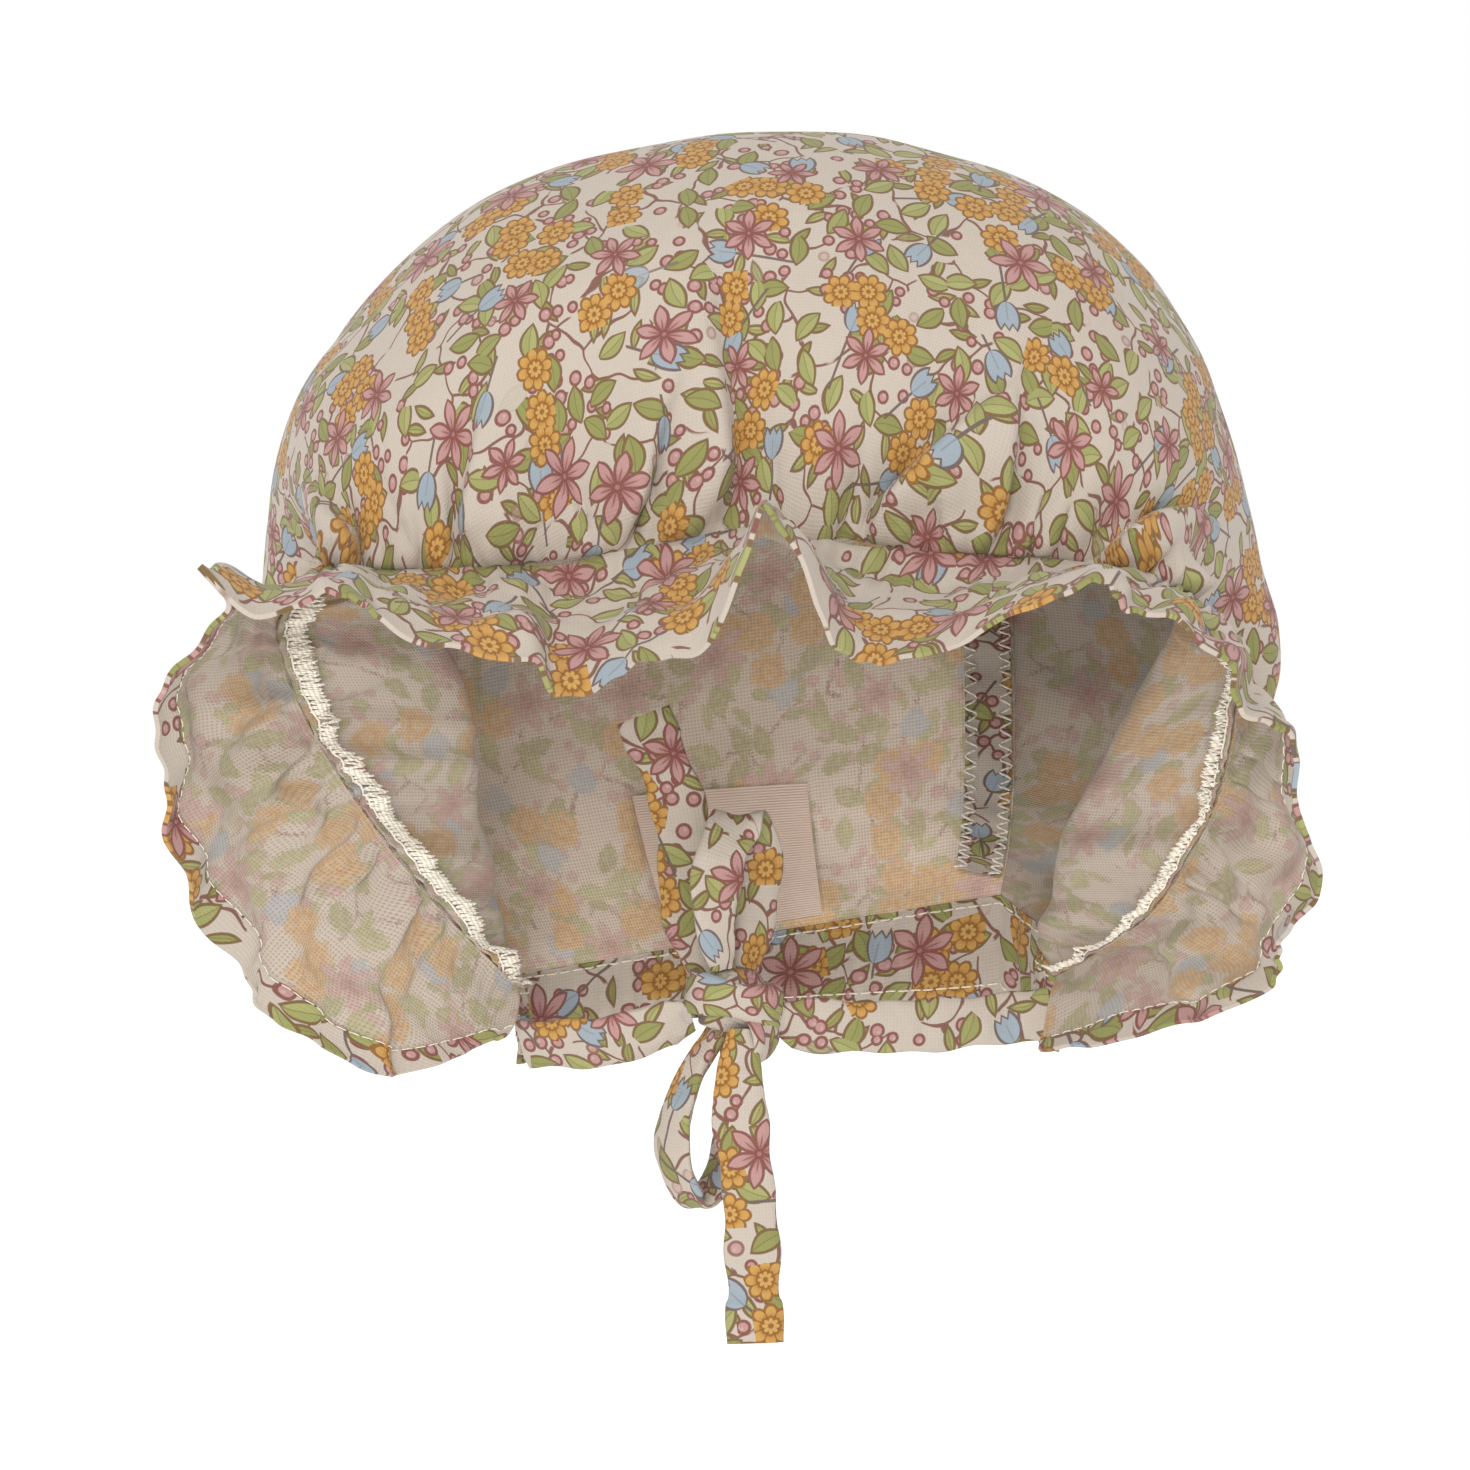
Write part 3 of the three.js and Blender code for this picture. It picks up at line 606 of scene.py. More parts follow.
def tube(line, radius):
    """Points of a thin round thread along a line."""
    way = unit(np.gradient(line, axis=0))
    helper = np.where(np.abs(way[:, 2:3]) < 0.8, [[0, 0, 1.0]], [[1.0, 0, 0]])
    side = unit(np.cross(way, helper))
    up = np.cross(way, side)
    angles = np.linspace(0, 2 * np.pi, THREAD_SIDES, endpoint=False)[None, :, None]
    ring = np.cos(angles) * side[:, None] + np.sin(angles) * up[:, None]
    return (line[:, None] + ring * radius).reshape(-1, 3)


def threads(name, lines, radius, material):
    """One mesh of many thin threads."""
    all_points, all_faces, count = [], [], 0
    for line in lines:
        points = tube(line, radius)
        faces = closed_tube(len(line) - 1, THREAD_SIDES)
        all_points.append(points)
        all_faces.extend([[v + count for v in face] for face in faces])
        count += len(points)
    points = np.concatenate(all_points)
    return mesh_object(name, points, all_faces, points[:, :2], [material])


def points_at(where, along, line):
    """Points of a line at some distances along it."""
    return np.stack([np.interp(where, along, line[:, k]) for k in range(3)], axis=1)


def stitches(line, square, lift):
    """Short running stitches along a line that lies on cloth; square is the cloth's own direction."""
    along = lengths_along(line, 0)
    arched = lift * np.array([-0.6, 0.8, 1, 0.8, -0.6])[:, None]
    lines = []
    for start in np.arange(0.4, along[-1] - STITCH, STITCH):
        at = np.linspace(start, start + STITCH_SHARE * STITCH, len(arched))
        lines.append(points_at(at, along, line) + unit(points_at(at, along, square)) * arched)
    return lines


# Materials
def plug(tree, value, slot):
    """Puts a Term, a socket, a number or a colour into a node's input."""
    value = getattr(value, "socket", value)
    if isinstance(value, bpy.types.NodeSocket):
        tree.links.new(value, slot)
    else:
        slot.default_value = (*value, 1) if isinstance(value, tuple) else value


def add_node(tree, kind, inputs, **settings):
    """A new shader node with its settings and what goes into its inputs."""
    node = tree.nodes.new("ShaderNode" + kind)
    for name, value in settings.items():
        setattr(node, name, value)
    for slot, value in inputs.items():
        plug(tree, value, node.inputs[slot])
    return node


class Term:
    """A number in a material's nodes, so that its formulas read as arithmetic."""

    def __init__(self, tree, socket):
        self.tree = tree
        self.socket = socket

    def of(self, operation, *others):
        node = add_node(self.tree, "Math", dict(enumerate((self, *others))), operation=operation)
        return Term(self.tree, node.outputs[0])

    __add__ = __radd__ = partialmethod(of, "ADD")
    __mul__ = __rmul__ = partialmethod(of, "MULTIPLY")
    __sub__ = partialmethod(of, "SUBTRACT")
    __rsub__ = partialmethod(of, "MULTIPLY_ADD", -1.0)
    __truediv__ = partialmethod(of, "DIVIDE")
    __abs__ = partialmethod(of, "ABSOLUTE")
    least = partialmethod(of, "MINIMUM")
    most = partialmethod(of, "MAXIMUM")
    sin = partialmethod(of, "SINE")
    cos = partialmethod(of, "COSINE")

    def rise(self, low, high):
        """0 below low, 1 above high and smooth between; falls where low is the greater."""
        ends = {"From Min": min(low, high), "From Max": max(low, high)}
        ends["To Min"], ends["To Max"] = (1.0, 0.0) if low > high else (0.0, 1.0)
        node = add_node(self.tree, "MapRange", {**ends, "Value": self}, interpolation_type="SMOOTHSTEP")
        return Term(self.tree, node.outputs["Result"])


def split(tree, socket):
    return [Term(tree, out) for out in add_node(tree, "SeparateXYZ", {0: socket}).outputs]


def join(tree, x, y):
    return add_node(tree, "CombineXYZ", {0: x, 1: y}).outputs[0]


def length(x, y):
    return (x * x + y * y).of("SQRT")


def turn(x, y, angle):
    cos, sin = angle.cos(), angle.sin()
    return x * cos + y * sin, y * cos - x * sin


class Cells:
    """A jittered layout of cells: each place knows its own cell's middle and three chances."""

    def __init__(self, x, y, sizes):
        tree, pitch, seed = x.tree, sizes["pitch"], sizes["seed"]
        across, up = x / pitch + seed, y / pitch + seed * 0.37
        node = add_node(
            tree, "TexVoronoi",
            {"Vector": join(tree, across, up), "Scale": 1.0, "Randomness": sizes["jitter"]},
            voronoi_dimensions="2D",
        )
        middle = split(tree, node.outputs["Position"])
        self.chance = split(tree, node.outputs["Color"])
        self.x, self.y = (across - middle[0]) * pitch, (up - middle[1]) * pitch
        self.middle = x - self.x, y - self.y
        self.far = length(self.x, self.y)

    def turned(self):
        """Place beside the middle, each cell turned by its own chance."""
        return turn(self.x, self.y, self.chance[0] * FULL_TURN)


def noise(x, y, pitch, seed=0.0, detail=1.0):
    at = join(x.tree, x / pitch + seed, y / pitch - seed)
    inputs = {"Vector": at, "Scale": 1.0, "Detail": detail}
    return Term(x.tree, add_node(x.tree, "TexNoise", inputs, noise_dimensions="2D").outputs[0])


def mix(tree, factor, below, above):
    """Colour above over colour below: each is a socket or a fixed colour."""
    node = add_node(tree, "Mix", {0: factor}, data_type="RGBA")
    slots = [s for s in node.inputs if s.type == "RGBA"]
    for slot, value in zip(slots, (below, above)):
        plug(tree, value, slot)
    return next(s for s in node.outputs if s.type == "RGBA")


def srgb(code):
    """A linear colour from its hexadecimal name."""
    parts = [int(code[k:k + 2], 16) / 255 for k in (0, 2, 4)]
    return tuple(p / 12.92 if p <= 0.04045 else ((p + 0.055) / 1.055) ** 2.4 for p in parts)


# How far each copy of the cloth's colour is darkened towards black. The copy in the hollow is darkened
# less: painted light, for light that comes through the thin cloth from behind.
FACE_DYE = 0.48
REVERSE_DYE = 0.46
HOLLOW_LESS_DARKENED_PAINTED_BACKLIGHT = 0.12
CREAM = srgb("EADBCB")
INSIDE = srgb("E8D8C7")
ROSE = srgb("DDABA5")
ROSE_DEEP = srgb("C58783")
ROSE_LINE = srgb("975A50")
OCHRE = srgb("EEBB6B")
OCHRE_DEEP = srgb("D99B49")
OCHRE_LINE = srgb("A66F38")
LEAF = srgb("C4C480")
LEAF_DEEP = srgb("A5A661")
LEAF_LINE = srgb("8D6A48")
BLUE = srgb("B9C6D0")
BLUE_LINE = srgb("7E6760")
STEM = srgb("9B6E60")
LINE = 0.23  # half the width of an outline

DAISY = {"pitch": 25, "jitter": 0.75, "seed": 3.7, "radius": 6.5, "petals": 6}
CLUSTER = {"pitch": 24, "jitter": 0.8, "seed": 11.3, "radius": 8.6}
FLOWER = {"pitch": 7.6, "jitter": 0.45, "seed": 22.6, "petals": 8}
LEAVES = {"pitch": 7.8, "jitter": 0.85, "seed": 23.1, "long": 3.7, "wide": 1.85}
SPRIGS = {"pitch": 6.4, "jitter": 0.9, "seed": 31.9, "long": 2.9, "wide": 0.95}
BERRIES = {"pitch": 4.4, "jitter": 0.85, "seed": 43.3, "radius": 1.1}
BELLS = {"pitch": 19, "jitter": 0.85, "seed": 57.7, "long": 3.5, "wide": 2.5}
STEMS = {"pitch": 12.5, "seed": 71.9}


class Painter:
    """Lays motifs over a ground: fill is the colour without outlines, lines is where outlines are."""

    def __init__(self, tree, ground, nothing):
        self.tree = tree
        self.fill = ground
        self.line_colour = STEM
        self.lines = self.cover = nothing

    def lay(self, inside, colour, line_colour, show=None, line=LINE):
        """Draws a motif where inside, a distance in millimetres from its outline, is above zero."""
        mask = inside.rise(-line, 0.0)
        outline = abs(inside).rise(line + 0.12, line)
        if show is not None:
            mask, outline = mask * show, outline * show
        self.fill = mix(self.tree, mask, self.fill, colour)
        self.line_colour = mix(self.tree, mask.most(outline), self.line_colour, line_colour)
        self.lines = (self.lines * (1 - mask)).most(outline)
        self.cover = self.cover.most(mask)


def folded_petal(x, y, petals):
    """Place beside the middle line of the nearest of some petals round a middle."""
    step = 2 * math.pi / petals
    angle = y.of("ARCTAN2", x)
    aside = (angle / step + 0.5).of("FLOORED_MODULO", 1.0) - 0.5
    far = length(x, y)
    turned = aside * step
    return far * turned.cos(), abs(far * turned.sin())


def add_stems(p, x, y):
    wander = noise(x, y, 9, 5.5) * 6
    stray = noise(x, y, 9, 17.5) * 6
    pitch = STEMS["pitch"]
    at = join(p.tree, (x + wander) / pitch + STEMS["seed"], (y + stray) / pitch)
    node = add_node(p.tree, "TexVoronoi", {"Vector": at, "Scale": 1.0},
                    voronoi_dimensions="2D", feature="DISTANCE_TO_EDGE")
    off = Term(p.tree, node.outputs["Distance"]) * pitch
    broken = noise(x, y, 11, 3.1).rise(0.42, 0.46)
    p.lay(LINE * 0.9 - off, STEM, STEM, broken, line=0.05)


def add_leaves(p, x, y, sizes, least):
    cells = Cells(x, y, sizes)
    along, aside = cells.turned()
    bend = along * along * 0.035 - 0.2
    aside = aside + bend
    share = along / sizes["long"]
    inside = (1 - share * share) * sizes["wide"] - abs(aside)
    shown = cells.chance[1].rise(least, least + 0.01)
    half = aside.rise(-0.05, 0.05)
    deep = cells.chance[2].rise(0.45, 0.55) * 0.75
    colour = mix(p.tree, deep, LEAF, LEAF_DEEP)
    colour = mix(p.tree, half * 0.35, colour, LEAF_DEEP)
    p.lay(inside, colour, LEAF_LINE, shown)
    vein = abs(aside).rise(0.16, 0.06) * inside.rise(0.0, 0.2) * shown
    p.lines = p.lines.most(vein * 0.55)


def add_berries(p, x, y):
    cells = Cells(x, y, BERRIES)
    mid_x, mid_y = cells.middle
    grown = noise(mid_x, mid_y, 15, 9.2).rise(0.5, 0.52)
    radius = cells.chance[0] * 0.4 + (BERRIES["radius"] - 0.2)
    p.lay(radius - cells.far, ROSE, ROSE_LINE, grown)
    spark = length(cells.x - 0.25, cells.y - 0.3).rise(0.4, 0.2) * grown
    p.fill = mix(p.tree, spark * 0.5, p.fill, CREAM)


def add_bells(p, x, y):
    cells = Cells(x, y, BELLS)
    across, up = cells.turned()
    level = up / BELLS["long"]
    body = (1 - (level * level).least(1.0)).of("SQRT") * BELLS["wide"] - abs(across)
    teeth = abs((across / 1.7 + 0.5).of("FLOORED_MODULO", 1.0) - 0.5) * -2.6 + 2.7
    shown = cells.chance[1].rise(0.3, 0.31)
    p.lay(body.least(teeth - up), BLUE, BLUE_LINE, shown)
    rib = abs(across).rise(0.2, 0.08) * body.rise(0, 0.4) * shown * up.rise(0.6, 0.2)
    p.lines = p.lines.most(rib * 0.4)


def add_clusters(p, x, y):
    small = Cells(x, y, FLOWER)
    big = Cells(*small.middle, CLUSTER)
    room = CLUSTER["radius"] * (big.chance[0] * 0.55 + 0.55)
    squashed = length(big.x * 1.15, big.y)
    shown = (room - squashed).rise(0.0, 0.02) * big.chance[1].rise(0.12, 0.13)
    along, aside = small.turned()
    out, beside = folded_petal(along, aside, FLOWER["petals"])
    petal = (1 - length((out - 2.65) / 1.35, beside / 1.12)) * 1.1
    colour = mix(p.tree, out.rise(1.6, 2.9) * 0.8, OCHRE_DEEP, OCHRE)
    p.lay(3.0 - small.far, OCHRE_LINE, OCHRE_LINE, shown, line=0.05)
    p.lay(petal, colour, OCHRE_LINE, shown, line=0.17)
    heart = (1 - length((out - 1.0) / 0.75, beside / 0.5)) * 0.6
    p.lay(1.6 - small.far, OCHRE_DEEP, OCHRE_LINE, shown, line=0.12)
    p.lay(heart, OCHRE, OCHRE_LINE, shown, line=0.12)


def add_daisies(p, x, y):
    cells = Cells(x, y, DAISY)
    along, aside = cells.turned()
    out, beside = folded_petal(along, aside, DAISY["petals"])
    radius = cells.chance[1] * 2.6 + (DAISY["radius"] - 2.0)
    share = out / radius
    inside = share * (1 - share * share) * radius * 0.52 - beside
    colour = mix(p.tree, share.rise(0.55, 0.1), ROSE, ROSE_DEEP)
    p.lay(inside, colour, ROSE_LINE)
    streak = beside.rise(0.2, 0.08) * share.rise(0.62, 0.4) * inside.rise(0.0, 0.2)
    p.lines = p.lines.most(streak * 0.8)
    p.lay(radius * 0.11 - cells.far, ROSE_DEEP, ROSE_LINE)


def print_group():
    """The floral print as one node group: cloth place in, fill colour, outline and cover out."""
    tree = bpy.data.node_groups.new("floral_print", "ShaderNodeTree")
    tree.interface.new_socket("Place", in_out="INPUT", socket_type="NodeSocketVector")
    for name, kind in (("Fill", "Color"), ("Line Colour", "Color"), ("Lines", "Float"), ("Cover", "Float")):
        tree.interface.new_socket(name, in_out="OUTPUT", socket_type="NodeSocket" + kind)
    start = tree.nodes.new("NodeGroupInput")
    x, y, _ = split(tree, start.outputs["Place"])
    ground = mix(tree, noise(x, y, 3, 1.3).rise(0.3, 0.8) * 0.25, CREAM, srgb("E2D8C4"))
    p = Painter(tree, ground, x * 0.0)
    add_stems(p, x, y)
    add_leaves(p, x, y, SPRIGS, 0.5)
    add_berries(p, x, y)
    add_leaves(p, x, y, LEAVES, 0.22)
    add_bells(p, x, y)
    add_clusters(p, x, y)
    add_daisies(p, x, y)
    end = tree.nodes.new("NodeGroupOutput")
    for slot, value in zip(end.inputs, (p.fill, p.line_colour, p.lines, p.cover)):
        plug(tree, value, slot)
    return tree


def new_material(name, roughness, sheen=0.0):
    material = bpy.data.materials.new(name)
    material.use_nodes = True
    shader = material.node_tree.nodes["Principled BSDF"]
    for slot, value in (("Roughness", roughness), ("Specular IOR Level", 0.2), ("Sheen Weight", sheen)):
        shader.inputs[slot].default_value = value
    return material, material.node_tree, shader


def cloth_place(tree):
    return add_node(tree, "UVMap", {}, uv_map="cloth").outputs[0]


def weave_height(x, y):
    """Plain weave: warp and weft threads that pass over and under each other, unevenly thick."""
    slub_x = noise(x, y * 0.15, 0.9, 2.2)
    slub_y = noise(x * 0.15, y, 0.9, 8.8)
    warp = (x * (2 * math.pi / WEAVE) + slub_x * 1.6).sin()
    weft = (y * (2 * math.pi / WEAVE) + slub_y * 1.6).sin()
    return warp * 0.5 + weft * 0.5


def bump(tree, shader, height, distance, strength):
    inputs = {"Distance": distance * MM, "Strength": strength, "Height": height}
    tree.links.new(add_node(tree, "Bump", inputs).outputs[0], shader.inputs["Normal"])


def cotton(name, group, inside, depth):
    """The printed cotton's face, or its inside, where the print shows through pale and blurred."""
    material, tree, shader = new_material(name, 0.92, 0.12)
    place_on = cloth_place(tree)
    x, y, _ = split(tree, place_on)
    if inside:
        seep_x = (noise(x, y, 0.45, 6.6) - 0.5) * 2.2
        seep_y = (noise(x, y, 0.45, 14.2) - 0.5) * 2.2
        place_on = join(tree, x + seep_x, y + seep_y)
    node = add_node(tree, "Group", {"Place": place_on}, node_tree=group)
    lines = Term(tree, node.outputs["Lines"])
    cover = Term(tree, node.outputs["Cover"])
    weave = weave_height(x, y)
    patches = noise(x, y, 1.1, 4.4)
    if inside:
        soaked = cover * (patches.rise(0.25, 0.7) * 0.25 + 0.36)
        colour = mix(tree, soaked, INSIDE, node.outputs["Fill"])
        colour = mix(tree, lines * cover * 0.1, colour, node.outputs["Line Colour"])
        # Painted shade in the gaps between the weave's threads.
        weave_gap_shade = weave.rise(0.0, -0.8) * 0.48
        colour = mix(tree, weave_gap_shade, colour, srgb("A98C72"))
    else:
        colour = mix(tree, lines * 0.9, node.outputs["Fill"], node.outputs["Line Colour"])
        # Painted shade in the gaps between the weave's threads.
        weave_gap_shade = weave.rise(-0.2, -0.95) * 0.16
        colour = mix(tree, weave_gap_shade, colour, srgb("B7A58E"))
    # Darkened towards black by depth. The hollow's copy is darkened less, as painted backlight.
    colour = mix(tree, depth, colour, (0.0, 0.0, 0.0))
    tree.links.new(colour, shader.inputs["Base Color"])
    crinkle = noise(x, y, 2.6, 6.1, 3.0)
    bump(tree, shader, weave * 0.35 + crinkle * 1.3, 0.22, 0.55)
    return material


def thread_material(name, colour):
    material, tree, shader = new_material(name, 0.7, 0.2)
    x, y, z = split(tree, add_node(tree, "TexCoord", {}).outputs["Object"])
    twist = ((x + z * 0.8 + y * 0.6) * 5200).sin()
    shade = mix(tree, twist.rise(-1.0, 0.0), srgb("D6CBB8"), colour)
    tree.links.new(shade, shader.inputs["Base Color"])
    bump(tree, shader, twist, 0.05, 0.6)
    return material


def ribbon_material():
    material, tree, shader = new_material("label_ribbon", 0.5, 0.3)
    x, y, _ = split(tree, cloth_place(tree))
    ribs = (y * (2 * math.pi / 0.55)).sin()
    shade = noise(x, y, 7, 2.0)
    colour = mix(tree, shade, srgb("D8BFAE"), srgb("E2CCBC"))
    # Darker in the troughs between the ribs: painted shade.
    colour = mix(tree, ribs.rise(0.0, -1.0) * 0.3, colour, srgb("B99C8A"))
    tree.links.new(colour, shader.inputs["Base Color"])
    bump(tree, shader, ribs, 0.08, 0.5)
    return material


GROUP = print_group()
FACE = cotton("printed_cotton_face", GROUP, False, FACE_DYE)
REVERSE = cotton("printed_cotton_inside", GROUP, True, REVERSE_DYE)
# The inside again, darkened less: painted backlight on the panel's inside in the hollow.
HOLLOW = cotton("printed_cotton_hollow_painted_backlight", GROUP, True, HOLLOW_LESS_DARKENED_PAINTED_BACKLIGHT)
SEWN = thread_material("sewing_thread", srgb("E4DAC6"))
OVERLOCK = thread_material("overlock_thread", srgb("EFE9DC"))
RIBBON = ribbon_material()


# Camera, floor and light
PHOTO_SIDE = 1470
MM_PER_PIXEL = 0.19
CAMERA_AWAY = 2200
FRAME_MIDDLE = (735, 735)  # the photograph's middle, in pixels
ORIGIN_PIXEL = (755, 130)  # where the crown's top lies in the photograph
SENSOR = 36
FLOOR_LEVEL = -0.42


def make_camera():
    data = bpy.data.cameras.new("camera")
    data.sensor_width = SENSOR
    data.lens = SENSOR * CAMERA_AWAY / (PHOTO_SIDE * MM_PER_PIXEL)
    data.clip_end = 60
    across = (FRAME_MIDDLE[0] - ORIGIN_PIXEL[0]) * MM_PER_PIXEL
    up = CAD_WALL - (FRAME_MIDDLE[1] - ORIGIN_PIXEL[1]) * MM_PER_PIXEL
    camera = add_object("camera", data, (across * MM, -CAMERA_AWAY * MM, up * MM))
    camera.rotation_euler = (math.pi / 2, 0, 0)
    bpy.context.scene.camera = camera


def make_stage():
    mesh = bpy.data.meshes.new("floor")
    far = 30
    mesh.from_pydata([(-far, -far, 0), (far, -far, 0), (far, far, 0), (-far, far, 0)], [], [(0, 1, 2, 3)])
    floor = add_object("floor", mesh, (0, 0, FLOOR_LEVEL))
    material, _, shader = new_material("floor", 0.9)
    shader.inputs["Base Color"].default_value = (0.93, 0.93, 0.93, 1)
    shader.inputs["Emission Color"].default_value = (1, 1, 1, 1)
    shader.inputs["Emission Strength"].default_value = 0.25
    mesh.materials.append(material)
    world = bpy.data.worlds.new("studio")
    world.use_nodes = True
    back = world.node_tree.nodes["Background"]
    back.inputs["Color"].default_value = (1, 1, 1, 1)
    back.inputs["Strength"].default_value = 1.0
    bpy.context.scene.world = world
    bpy.context.scene.view_settings.view_transform = "Standard"


def add_light(name, location, size, watts, target=(0, 0, -0.1)):
    data = bpy.data.lights.new(name, "AREA")
    data.size = size
    data.energy = watts
    light = add_object(name, data, location)
    way = Vector(target) - Vector(location)
    light.rotation_euler = way.to_track_quat("-Z", "Y").to_euler()


make_camera()
make_stage()
add_light("key", (-0.7, -1.3, 1.1), 0.6, 5)
add_light("front", (-0.25, -2.4, 0.3), 0.8, 24)


# The bonnet's cloth
FINE_U = 400
FINE_V = 96
FRONT = (0.27, 0.77)  # the stretch of the gather seam that shows its folds, drawn finer
FRONT_SHARE = 0.74
CLOSER_AT_SEAM = 1.35


def allowance_width(at):
    narrowing = np.clip((at - 0.66) / 0.125, 0, 1)
    return BRIM_ALLOWANCE * (1 - 0.45 * narrowing)


# Where each piece is cut from the print, so that no two show the same stretch of it
PRINT_AT = {"panel": 300, "brim": 700, "casing": 1500, "gather": 2400, "left": 2500, "right": 2600}


def settle(piece, node):
    """Parents a cloth piece to the root body and hides the CAD node that it stands in for."""
    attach(piece, "root")
    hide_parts(node)


def sewing(name, lines, radius, material):
    """The threads sewn on a piece."""
    piece = threads(name, lines, radius, material)
    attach(piece, "root")
    return piece


def overlocked(name, node, grid, uv, cloth, lines):
    """A cut edge of cloth, bound with overlock threads along some lines."""
    piece = cloth_wall(name, grid, uv, cloth, cloth)
    bound = sewing(name.replace("edge", "overlock"), lines, OVERLOCK_THREAD, OVERLOCK)
    settle(piece, node)


def grid_of(columns, rows, u=None, v=None):
    u = np.linspace(0, 1, columns + 1) if u is None else u
    v = np.linspace(0, 1, rows + 1) if v is None else v
    return np.meshgrid(u, v, indexing="ij")


def make_crown():
    v = np.linspace(0, 1, FINE_V + 1)
    aside = (1 - FRONT_SHARE) / 2
    u = np.interp(np.linspace(0, 1, FINE_U + 1), [0, aside, 1 - aside, 1], [0, *FRONT, 1])
    u, v = grid_of(FINE_U, FINE_V, u=u, v=v**CLOSER_AT_SEAM)
    grid = crown_cloth(u, v)
    flat = lengths_along(crown_surface(u, v), 1)
    crest = lengths_along(crest_point(u[:, 0]), 0)
    crest_row = np.array([np.interp(0.5, v[k], flat[k]) for k in range(FINE_U + 1)])
    uv = np.stack([np.broadcast_to(crest[:, None], u.shape), flat - crest_row[:, None]], axis=-1)
    piece = cloth_wall("crown_cloth", grid, uv, FACE, REVERSE)
    settle(piece, "crown_band")


PANEL_SIZE = (CROWN_WIDTH / 2, 140)  # about what the panel measures across and up
PANEL_CRUMPLES = [(0.5, 36, 12), (0.15, 13, 13)]


def make_panel():
    columns, rows = 110, 120
    u, v = grid_of(columns, rows)
    grid = panel_surface(u, v)
    edge = np.clip(6 * arch(u), 0, 1) * np.clip(6 * arch(v), 0, 1)
    crease = 0.7 * bell((u - 0.64 - 0.02 * v) / 0.012)
    grid[..., 1] += edge * (crumples(PANEL_SIZE[0] * u, PANEL_SIZE[1] * v, PANEL_CRUMPLES) - crease)
    across = lengths_along(grid[:, rows // 2], 0)
    uv = np.stack([across[:, None] + PRINT_AT["panel"] + 0 * u, lengths_along(grid, 1)], axis=-1)
    # The panel's inside takes the lighter copy: painted backlight.
    piece = cloth_wall("panel_cloth", grid, uv, HOLLOW, FACE)
    settle(piece, "back_panel")


HEM_AT = 1 - HEM_WIDTH / BRIM_WIDTH  # where the hem's inner edge lies
HEM_RISE = 0.008  # how much of the width the hem's step takes


def face_the_hem(piece, columns, hem):
    """Shows the print's face on the hem that is turned in, and on the rim."""
    slots = np.zeros(len(piece.data.polygons), np.int32)
    piece.data.polygons.foreach_get("material_index", slots)
    quads = columns * len(hem)
    slots[:quads].reshape(columns, len(hem))[:, hem] = 1
    slots[2 * quads:] = 1
    piece.data.polygons.foreach_set("material_index", slots)


def make_brim():
    columns, rows = 720, 42
    v = np.unique([*np.linspace(0, 1, rows + 1), HEM_AT, HEM_AT + HEM_RISE])
    u, v = grid_of(columns, len(v) - 1, v=v)
    grid = brim_surface(u, v)
    inner = CLOTH / 2 + HEM_STEP * np.clip((v - HEM_AT) / HEM_RISE, 0, 1)
    middle = brim_surface(u[:, 0], np.full(columns + 1, 0.5))
    along = lengths_along(middle, 0)[:, None] + PRINT_AT["brim"]
    uv = np.stack([along + 0 * u, v * BRIM_WIDTH * follow(BRIM_FOLDS, "width", u)], axis=-1)
    piece = cloth_wall("brim_cloth", grid, uv, REVERSE, FACE, plus=inner)
    face_the_hem(piece, columns, v[0, :-1] >= HEM_AT - 1e-6)
    square = normals_of(grid)
    k = int(np.argmax(v[0] >= HEM_AT)) + 2
    lines = stitches(grid[:, k] + square[:, k] * inner[:, k, None], square[:, k], THREAD)
    sewn = sewing("brim_hem_stitches", lines, THREAD * 0.7, SEWN)
    settle(piece, "brim_ruffle")


def make_casing():
    columns, rows = 360, 14
    u, v = grid_of(columns, rows)
    grid = neck_point(u)
    drop = v * (CASING_HEIGHT + 1.2) * follow(CASING_DROPS, "drop", u)
    grid[..., 2] -= drop
    way = unit(np.gradient(grid, axis=0))
    out = unit(np.cross(way, np.broadcast_to([0, 0, 1.0], way.shape)))
    along = lengths_along(grid[:, rows // 2, None], 0)
    ripples = 0.5 * np.sin(wave_phase(37, 5, 0.6, u)) * arch(v) ** 0.5
    grid = grid + out * (ripples + 0.3 * crumple(along, drop, 14, 21))[..., None]
    uv = np.stack([along + PRINT_AT["casing"] + 0 * u, drop], axis=-1)
    wall = CLOTH / 2 + 0.45 * arch(v)
    piece = cloth_wall("casing_cloth", grid, uv, FACE, FACE, plus=wall, minus=wall)
    square = normals_of(grid)
    lines = []
    for row in (1, 12):
        for side in (square[:, row], -square[:, row]):
            lines += stitches(grid[:, row] + side * wall[:, row, None], side, THREAD)
    sewn = sewing("casing_stitches", lines, THREAD, SEWN)
    settle(piece, "neck_casing")


def overlock_line(low, high, square, lift, pitch):
    """A thread that goes to and fro in loops between two lines along a cloth edge."""
    count = int(lengths_along((low + high) / 2, 0)[-1] / pitch)
    share = np.linspace(0, 1, count * 8 + 1)
    index = share * (len(low) - 1)
    rows = np.arange(len(low))
    phase = share * count * 2 * np.pi
    across = (0.5 + 0.52 * np.cos(phase) + 0.06 * np.sin(share * 517))[:, None]
    wobble = 0.18 * np.sin(share * 911) + 0.1 * np.sin(share * 1733)
    height = lift + wobble * 0.6 + 0.25 * np.abs(np.sin(phase))
    line = points_at(index, rows, low) * (1 - across) + points_at(index, rows, high) * across
    return line + unit(points_at(index, rows, square)) * height[:, None]


